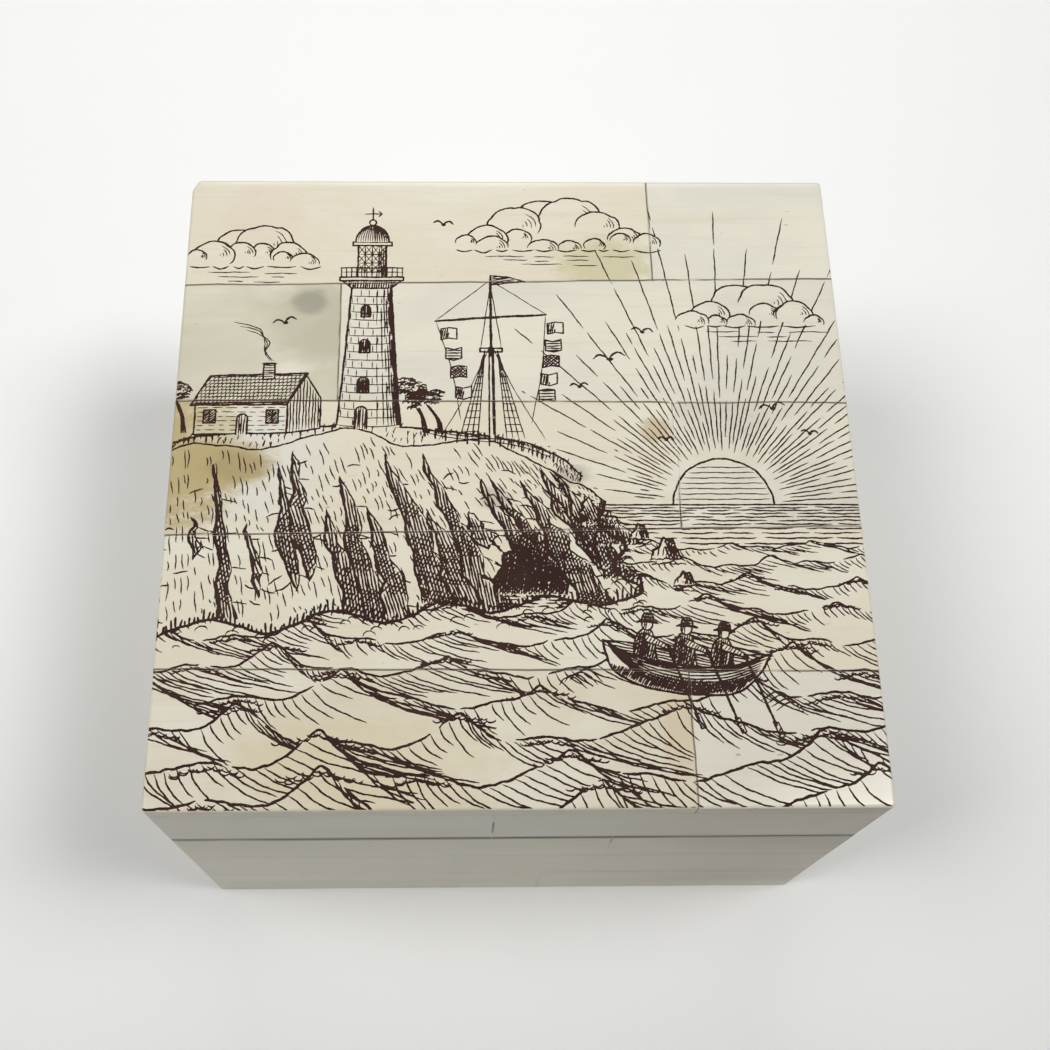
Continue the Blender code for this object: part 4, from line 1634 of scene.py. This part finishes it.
class Tree:
    """A material's nodes, with short calls to add and join them."""

    def __init__(self, name):
        self.material = bpy.data.materials.new(name)
        self.material.use_nodes = True
        self.nodes = self.material.node_tree.nodes
        self.links = self.material.node_tree.links
        self.shader = self.nodes["Principled BSDF"]

    def set(self, node, name, value):
        socket = node.inputs[name]
        if isinstance(value, bpy.types.NodeSocket):
            self.links.new(value, socket)
        else:
            socket.default_value = value

    def add(self, kind, inputs=(), **settings):
        node = self.nodes.new(kind)
        for name, value in settings.items():
            setattr(node, name, value)
        for name, value in dict(inputs).items():
            self.set(node, name, value)
        return node

    def math(self, operation, *values):
        return self.add("ShaderNodeMath", enumerate(values), operation=operation).outputs[0]

    def blend(self, share, first, second, kind="MIX"):
        """A colour between two others."""
        inputs = {0: share, 6: first, 7: second}
        node = self.add("ShaderNodeMix", inputs, data_type="RGBA", blend_type=kind, clamp_factor=True)
        return node.outputs[2]

    def tinted(self, tint, shade, share, strength):
        """A colour with a shade over it, by a share times its strength."""
        return self.blend(self.math("MULTIPLY", share, strength), tint, shade)

    def ramp(self, value, low, high):
        """0 below the low value, 1 above the high one, and smooth between."""
        inputs = {"Value": value, "From Min": low, "From Max": high}
        return self.add("ShaderNodeMapRange", inputs, interpolation_type="SMOOTHSTEP").outputs[0]

    def roughness(self, value, low, high):
        """Makes the surface as rough as a value between 0 and 1 says, from a low roughness to a high one."""
        node = self.add("ShaderNodeMapRange", {"Value": value, "To Min": low, "To Max": high})
        self.set(self.shader, "Roughness", node.outputs[0])

    def bump(self, height, strength, distance):
        node = self.add("ShaderNodeBump", {"Strength": strength, "Distance": distance, "Height": height})
        self.set(self.shader, "Normal", node.outputs[0])

    def place(self, scale=(1.0, 1.0, 1.0), offset=(0.0, 0.0, 0.0)):
        """Where the surface is, in millimetres, stretched by the scale and then moved by the offset."""
        where = self.add("ShaderNodeTexCoord").outputs["Object"]
        inputs = {"Vector": where, "Scale": [value / MM for value in scale], "Location": offset}
        return self.add("ShaderNodeMapping", inputs, vector_type="POINT").outputs[0]

    def along(self, axis):
        """Where the surface is along an axis, in millimetres."""
        return self.add("ShaderNodeSeparateXYZ", {0: self.place()}).outputs["XYZ".index(axis)]

    def painted_front_shade(self, tint):
        """Painted shade on the front: a colour made darker there, a little more and warmer towards its right
        end.
        """
        to_the_right = self.ramp(self.along("X"), 0.0, 44.0)
        shade = self.blend(to_the_right, colour(244, 243, 241), colour(214, 207, 198))
        return self.blend(self.ramp(self.along("Y"), -47.3, -47.9), tint, shade, "MULTIPLY")

    def joint_lines(self, tint, joints):
        """A colour with a fine dark line that wanders along each joint, given by its normal and level."""
        wander = self.noise(self.place((0.11, 0.11, 0.11), (5.0, 8.0, 0.0)), 1.0, 4.0, 0.55)
        shift = self.math("MULTIPLY", self.math("SUBTRACT", wander, 0.5), 0.9)
        patchy = self.ramp(self.noise(self.place((0.17, 0.17, 0.17), (2.0, 6.0, 0.0)), 1.0, 2.0), 0.2, 0.6)
        for normal, level in joints:
            inputs = {0: self.place(), 1: (*normal, 0.0)}
            across = self.add("ShaderNodeVectorMath", inputs, operation="DOT_PRODUCT").outputs["Value"]
            off = self.math("SUBTRACT", self.math("SUBTRACT", across, level), shift)
            line = self.math("MULTIPLY", self.ramp(self.math("ABSOLUTE", off), 0.16, 0.05), patchy)
            tint = self.blend(line, tint, JOINT_BROWN)
        return tint

    def noise(self, where, scale, detail=3.0, rough=0.5, distortion=0.0):
        names = ("Vector", "Scale", "Detail", "Roughness", "Distortion")
        values = (where, scale, detail, rough, distortion)
        return self.add("ShaderNodeTexNoise", zip(names, values)).outputs[0]

    def spot(self, centre, size, ragged, seed):
        """1 at a place on the box and 0 beyond an ellipsoid around it, in millimetres, with a ragged edge."""
        scale = [1.0 / length for length in size]
        offset = [-place / length for place, length in zip(centre, size)]
        distance = self.add("ShaderNodeVectorMath", {0: self.place(scale, offset)}, operation="LENGTH")
        wander = self.noise(self.place((0.32, 0.62, 0.32), (seed, seed * 1.7, 0.0)), 1.0, 6.0, 0.74)
        shifted = self.math("MULTIPLY_ADD", wander, ragged, -0.5 * ragged)
        reach = self.math("ADD", distance.outputs["Value"], shifted)
        return self.math("SUBTRACT", 1.0, self.ramp(reach, 0.45, 1.0))


def bone_material(name, base, tints, seed, grain="x", stains=(), streaks=0.5, joints=()):
    """Polished bone: streaks and pores along the plate, slow clouding, and named stains. On the sides,
    painted shade on the front, painted shade and dirt at the seam, and painted light near the foot.
    """
    tree = Tree(name)
    shifts = (7.3 * seed, 3.1 * seed, 5.7 * seed)
    along = {"x": (0.035, 1.0, 1.0), "y": (1.0, 0.035, 1.0)}[grain]
    short = {"x": (0.22, 2.6, 2.6), "y": (2.6, 0.22, 2.6)}[grain]
    cloud = tree.noise(tree.place((0.045, 0.07, 0.07), shifts), 1.0, 3.0, 0.55, 0.6)
    streak = tree.noise(tree.place(along, shifts), 0.55, 5.0, 0.62, 0.25)
    fine = tree.noise(tree.place(along, shifts), 2.4, 3.0, 0.6, 0.1)
    pores = tree.noise(tree.place(short, shifts), 1.7, 2.0, 0.5)

    pale, warm, grey = tints
    tint = tree.blend(tree.ramp(cloud, 0.35, 0.70), base, pale)
    tint = tree.tinted(tint, warm, tree.ramp(streak, 0.50, 0.78), streaks)
    tint = tree.tinted(tint, grey, tree.ramp(streak, 0.46, 0.22), 0.35 * streaks)
    tint = tree.tinted(tint, grey, tree.ramp(fine, 0.52, 0.80), 0.25)
    tint = tree.tinted(tint, colour(178, 166, 140), tree.ramp(pores, 0.66, 0.80), 0.28)
    flecks = tree.noise(tree.place({"x": (0.5, 1.3, 1.3), "y": (1.3, 0.5, 1.3)}[grain], shifts), 1.0, 1.0)
    tint = tree.tinted(tint, colour(140, 126, 100), tree.ramp(flecks, 0.765, 0.83), 0.5)
    for number, (stain, centre, size, strength, ragged) in enumerate(stains):
        tint = tree.tinted(tint, stain, tree.spot(centre, size, ragged, seed + 3 * number), strength)
    on_lid = tints is LID_TINTS
    if on_lid:
        tint = tree.joint_lines(tint, joints)
    else:
        # Painted shade over the front face, deeper towards its right end
        tint = tree.painted_front_shade(tint)
        # Painted shade and dirt in a patchy band along the seam between the base and the lid
        off_seam = tree.math("ABSOLUTE", tree.math("SUBTRACT", tree.along("Z"), SEAM_LEVEL))
        seam_shade_and_dirt = tree.ramp(off_seam, SEAM_SHADE_AND_DIRT, 0.4 * SEAM_SHADE_AND_DIRT)
        tint = tree.tinted(tint, colour(138, 134, 120), seam_shade_and_dirt, tree.ramp(cloud, 0.0, 0.6))
        # Painted light: the bone made lighter towards the foot of the base, for light from the floor
        tint = tree.tinted(tint, colour(238, 233, 219), tree.ramp(tree.along("Z"), 9.0, 1.0), 0.6)
    tree.set(tree.shader, "Base Color", tint)

    tree.roughness(streak, *((0.08, 0.13) if on_lid else (0.26, 0.36)))
    dents = tree.math("ADD", tree.math("MULTIPLY", pores, -0.5), tree.math("MULTIPLY", fine, 0.5))
    tree.bump(dents, 0.05, 0.0002)
    tree.set(tree.shader, "IOR", 1.52)
    tree.set(tree.shader, "Specular IOR Level", 0.5 if on_lid else 0.2)
    tree.set(tree.shader, "Subsurface Weight", 0.06)
    tree.set(tree.shader, "Subsurface Radius", (0.0009, 0.0006, 0.0004))
    tree.set(tree.shader, "Subsurface Scale", 1.0)
    return tree.material


def ink_material():
    """Dark brown ink that fills the cuts, a little worn and uneven."""
    tree = Tree("ink")
    slow = tree.noise(tree.place((0.12, 0.12, 0.12), (4.0, 2.0, 0.0)), 1.0, 3.0)
    grain = tree.noise(tree.place(), 3.2, 3.0, 0.6)
    tint = tree.blend(tree.ramp(slow, 0.35, 0.7), INK_BROWN, colour(64, 42, 34))
    tint = tree.tinted(tint, colour(96, 74, 60), tree.ramp(grain, 0.60, 0.85), 0.5)
    tree.set(tree.shader, "Base Color", tint)
    tree.roughness(grain, 0.55, 0.75)
    tree.set(tree.shader, "Specular IOR Level", 0.15)
    return tree.material


def glue_material(name, pale, grey, dirt, marks, joints=()):
    """Glue in the joints: pale and grey in turn along them, with fine dirt and named marks, and on the sides
    painted shade on the front.
    """
    tree = Tree(name)
    slow = tree.noise(tree.place((0.06, 0.2, 0.2), (1.0, 9.0, 4.0)), 1.0, 3.0, 0.6)
    fine = tree.noise(tree.place(), 1.6, 3.0, 0.6)
    tint = tree.blend(tree.ramp(slow, 0.38, 0.62), pale, grey)
    tint = tree.tinted(tint, dirt, tree.ramp(fine, 0.50, 0.75), 0.5)
    # On the sides, painted shade over the glue on the front face, as on the bone
    tint = tree.joint_lines(tint, joints) if joints else tree.painted_front_shade(tint)
    for shade, centre, size, strength in marks:
        tint = tree.tinted(tint, shade, tree.spot(centre, size, 0.25, 2.0), strength)
    tree.set(tree.shader, "Base Color", tint)
    tree.roughness(fine, 0.30, 0.50)
    return tree.material


def wood_material():
    """The plain wood of the carcass, with its grain along X."""
    tree = Tree("wood")
    where = tree.place((0.05, 1.0, 1.0), (3.0, 1.0, 2.0))
    rings = tree.noise(where, 0.9, 4.0, 0.6, 0.8)
    fibres = tree.noise(tree.place((0.12, 3.0, 3.0)), 1.6, 3.0, 0.6)
    tint = tree.blend(tree.ramp(rings, 0.35, 0.65), colour(150, 108, 70), colour(118, 78, 46))
    tint = tree.tinted(tint, colour(92, 58, 34), tree.ramp(fibres, 0.5, 0.8), 0.5)
    tree.set(tree.shader, "Base Color", tint)
    tree.roughness(fibres, 0.52, 0.72)
    tree.bump(fibres, 0.3, 0.0003)
    return tree.material


# Marks in the glue, in millimetres: colour, centre, size and strength
LID_GLUE_MARKS = (
    (colour(236, 232, 218), (22.9, 5.0, 66.5), (1.0, 12.0, 4.0), 0.9),
    (colour(112, 104, 84), (-37.0, 10.5, 66.5), (15.0, 3.0, 4.0), 0.8),
    (colour(122, 110, 92), (45.0, 30.0, 66.5), (8.0, 3.0, 4.0), 0.8),
)
SIDE_GLUE_MARKS = (
    (colour(60, 50, 44), (-3.3, -48.0, 56.2), (0.8, 2.0, 2.6), 0.95),
    (colour(112, 102, 90), (-3.3, -48.0, 53.2), (0.8, 2.0, 3.4), 0.9),
    (colour(120, 114, 104), (13.7, -48.0, 44.5), (0.8, 2.0, 4.0), 0.6),
)

# Stains on the lid's plates: colour, centre and size in plan, strength and how ragged the edge is. The level
# and the depth, in millimetres as well, are the same for all of them
STAIN_LEVEL = 66.5
STAIN_DEPTH = 5.0
LID_STAINS = {
    "lid_top_row1_left": (
        ((206, 200, 160), (14.0, 33.0), (9.0, 6.5), 0.75, 1.3),
        ((226, 203, 182), (-37.5, 42.0), (8.0, 7.0), 0.3, 0.8),
    ),
    "lid_top_row2_left": (
        ((217, 211, 190), (-42.0, 17.0), (9.0, 8.0), 0.6, 0.8),
        ((192, 188, 165), (-28.0, 23.0), (9.0, 9.0), 0.6, 0.7),
        ((148, 145, 132), (-29.5, 26.5), (3.6, 2.8), 0.6, 0.7),
    ),
    "lid_top_row3_left": (
        ((228, 224, 212), (-38.0, 0.0), (17.0, 11.0), 0.8, 1.6),
        ((192, 175, 129), (-47.5, 1.0), (11.5, 14.5), 0.95, 1.3),
        ((190, 172, 126), (-40.5, 0.4), (9.0, 4.8), 0.9, 1.1),
        ((172, 153, 110), (-38.5, 0.0), (6.0, 3.0), 0.6, 0.9),
        ((214, 206, 178), (-42.0, 5.4), (5.0, 2.4), 0.7, 1.2),
        ((176, 170, 156), (8.0, -1.4), (3.2, 2.4), 0.6, 1.2),
        ((176, 172, 160), (-3.0, -5.0), (3.0, 2.2), 0.55, 1.2),
        ((192, 174, 128), (20.0, 5.4), (2.8, 2.6), 0.6, 1.1),
    ),
    "lid_top_row5_left": (
        ((216, 196, 164), (20.8, -38.0), (3.0, 9.0), 0.5, 1.2),
        ((222, 208, 172), (-20.0, -42.0), (24.0, 8.0), 0.5, 1.4),
    ),
}
LID_BASES = {
    "lid_top_row1_left": BONE_CREAM,
    "lid_top_row1_right": colour(226, 222, 208),
    "lid_top_row2_left": colour(206, 201, 176),
    "lid_top_row2_right": colour(226, 221, 206),
    "lid_top_row3_left": BONE_CREAM,
    "lid_top_row3_right": colour(216, 211, 196),
    "lid_top_row4": BONE_CREAM,
    "lid_top_row5_left": colour(225, 216, 192),
    "lid_top_row5_right": colour(228, 222, 206),
}
LID_STREAKS = {"lid_top_row2_left": 1.0, "lid_top_row4": 0.25}
SIDE_TONES = (colour(228, 221, 202), colour(225, 219, 201), colour(229, 222, 202), colour(222, 217, 199))


def joint_middles(plan):
    """The middle of each joint round a plate: a normal that points right or back, and a level."""
    lines = []
    for normal, level, outer in plan.sides:
        if not outer:
            turn = 1 if normal[0] + normal[1] > 0 else -1
            lines.append((normal * turn, (level - JOINT_GAP / 2) * turn))
    return lines


def lid_bone(name, plan):
    seed = 1 + sorted(LID_BASES).index(name)
    stains = [
        (colour(*shade), (*place, STAIN_LEVEL), (*size, STAIN_DEPTH), strength, ragged)
        for shade, place, size, strength, ragged in LID_STAINS.get(name, ())
    ]
    streaks = LID_STREAKS.get(name, 0.5)
    joints = joint_middles(plan)
    return bone_material(name + "_bone", LID_BASES[name], LID_TINTS, seed, "x", stains, streaks, joints)


def side_bone(grain, variant):
    """One of a few bone materials for the sides."""
    label = f"side_bone_{grain}_{variant}"
    if label not in bpy.data.materials:
        bone_material(label, SIDE_TONES[variant], SIDE_TINTS, 20 + variant, grain)
    return bpy.data.materials[label]


def side_plate_bone(name):
    """Bone for an upright plate, picked so that no plate looks like its neighbour."""
    side = name.split("_")[1] if name.startswith("base") else name.split("_")[2]
    row = 0 if name.startswith("lid") else int(name.split("_row")[1][0])
    variant = (2 * row + (1 if name.endswith("right") else 0) + SIDES.index(side)) % len(SIDE_TONES)
    return side_bone("x" if side in ("front", "back") else "y", variant)


# The camera, solved from the box's eight visible corners, in metres and degrees
CAMERA_PLACE = Vector((-0.008373, -0.083773, 0.247987))
CAMERA_AZIMUTH = 3.5429
CAMERA_PITCH = 67.0243
CAMERA_ROLL = 3.1486
CAMERA_LENS = 49.033
CAMERA_SHIFT = (0.03442, -0.01275)

# How wide the softboxes' grids let their light out, in degrees
SOFTBOX_SPREAD = 50.0

# The floor and the wall, in metres
FLOOR_MIDDLE = 0.3
FLOOR_RADIUS = 1.6
WALL_HEIGHT = 1.1
COVE_RADIUS = 0.5
COVE_STEPS = 12
STEPS_AROUND = 96


def add_camera():
    azimuth, pitch, roll = (math.radians(angle) for angle in (CAMERA_AZIMUTH, CAMERA_PITCH, CAMERA_ROLL))
    level = math.cos(pitch)
    ahead = Vector((math.sin(azimuth) * level, math.cos(azimuth) * level, -math.sin(pitch)))
    level_right = ahead.cross(Vector((0.0, 0.0, 1.0))).normalized()
    level_up = level_right.cross(ahead)
    right = level_right * math.cos(roll) + level_up * math.sin(roll)
    up = level_up * math.cos(roll) - level_right * math.sin(roll)
    data = bpy.data.cameras.new("camera")
    data.lens = CAMERA_LENS
    data.shift_x, data.shift_y = CAMERA_SHIFT
    data.clip_start = 0.005
    camera = bpy.data.objects.new("camera", data)
    camera.matrix_world = Matrix.Translation(CAMERA_PLACE) @ Matrix((right, up, -ahead)).transposed().to_4x4()
    bpy.context.scene.collection.objects.link(camera)
    bpy.context.scene.camera = camera


def add_backdrop():
    """A pale round floor that curves up into a wall."""
    cove_start = FLOOR_RADIUS - COVE_RADIUS
    profile = [(FLOOR_MIDDLE, 0.0), (cove_start, 0.0)]
    for k in range(1, COVE_STEPS + 1):
        turn = math.radians(90 * k / COVE_STEPS)
        profile.append((cove_start + COVE_RADIUS * math.sin(turn), COVE_RADIUS * (1 - math.cos(turn))))
    profile.append((FLOOR_RADIUS, WALL_HEIGHT))
    turns = [2 * math.pi * k / STEPS_AROUND for k in range(STEPS_AROUND)]
    bm = bmesh.new()
    middle = bm.verts.new((0.0, 0.0, 0.0))
    rings = []
    for radius, height in profile:
        rings.append([bm.verts.new((radius * math.cos(t), radius * math.sin(t), height)) for t in turns])
    for k in range(STEPS_AROUND):
        n = (k + 1) % STEPS_AROUND
        bm.faces.new((middle, rings[0][k], rings[0][n]))
        for ring, beyond in zip(rings, rings[1:]):
            bm.faces.new((ring[k], beyond[k], beyond[n], ring[n]))
    mesh = bpy.data.meshes.new("floor")
    bm.to_mesh(mesh)
    bm.free()
    mesh.shade_smooth()
    tree = Tree("floor_paper")
    mottle = tree.noise(tree.place((0.02, 0.02, 0.02)), 1.0, 2.0)
    tint = tree.blend(mottle, colour(248, 248, 246), colour(250, 250, 248))
    tree.set(tree.shader, "Base Color", tint)
    tree.set(tree.shader, "Roughness", 0.85)
    tree.set(tree.shader, "Specular IOR Level", 0.1)
    mesh.materials.append(tree.material)
    floor = bpy.data.objects.new("floor", mesh)
    bpy.context.scene.collection.objects.link(floor)
    floor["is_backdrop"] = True


def add_light(name, place, lit_place, size, power, turn=0.0):
    """A softbox that faces a place, with its size in metres, its power in watts and its turn in degrees."""
    data = bpy.data.lights.new(name, "AREA")
    data.shape = "RECTANGLE"
    data.size, data.size_y = size
    data.energy = power
    data.spread = math.radians(SOFTBOX_SPREAD)
    light = bpy.data.objects.new(name, data)
    light.location = place
    spin = Quaternion((0.0, 0.0, 1.0), math.radians(turn))
    facing = (Vector(lit_place) - Vector(place)).to_track_quat("-Z", "Y") @ spin
    light.rotation_euler = facing.to_euler()
    bpy.context.scene.collection.objects.link(light)


def add_lights():
    add_light("right_softbox", (0.5285, 0.0215, 1.15), (-0.08, 0.20, 0.03), (0.46, 0.46), 0.85, 45.0)
    add_light("left_softbox", (-0.63, -0.04, 1.15), (0.04, 0.15, 0.03), (0.60, 0.51), 0.74)
    add_light("back_softbox", (0.05, 1.42, 1.35), (0.0, 0.10, 0.03), (1.1, 0.4), 0.345)
    world = bpy.data.worlds.new("studio")
    world.use_nodes = True
    sky = world.node_tree.nodes["Background"]
    sky.inputs["Color"].default_value = (0.92, 0.95, 1.0, 1.0)
    sky.inputs["Strength"].default_value = 0.10
    bpy.context.scene.world = world
    bpy.context.scene.view_settings.view_transform = "Standard"


INK = ink_material()
SIDE_GLUE = glue_material(
    "side_glue", colour(227, 221, 203), colour(222, 216, 199), colour(208, 201, 183), SIDE_GLUE_MARKS,
)
add_camera()
add_backdrop()
add_lights()

drawing = picture()
stroke_middles = centre_lines(drawing)
lid_plans = {name: top_plate_plan(name) for row in lid_rows() for name in row}
add_lid_plates(drawing, stroke_middles, lid_plans)
add_lid_top_glue(drawing, stroke_middles, lid_plans)
for node in sorted(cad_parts):
    if node.startswith(("lid_edging_", "base_")) and node != "base_carcass":
        add_side_plate(node)
row_tops = [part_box(f"base_front_row{row}_left")[1].z / MM for row in (2, 3)]
row_feet = [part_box(f"base_front_row{row}_left")[0].z / MM for row in (1, 2)]
base_rings = [(low, high, False) for low, high in zip(row_tops, row_feet)]
add_side_glue("base_glue_lines", [f"base_{{}}_row{row}" for row in (1, 2, 3)], base_rings)
add_side_glue("lid_glue_lines", ["lid_edging_{}"], [(EDGING_TOP, PLATE_FOOT, True)])
wood = wood_material()
for node in ("base_carcass", "lid_carcass"):
    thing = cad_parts[node]
    thing.data.materials.clear()
    thing.data.materials.append(wood)

shown_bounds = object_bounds()
boxes = {"cad": cad_bounds, "visual": shown_bounds}
{name: [list(corner) for corner in pair] for name, pair in boxes.items()}
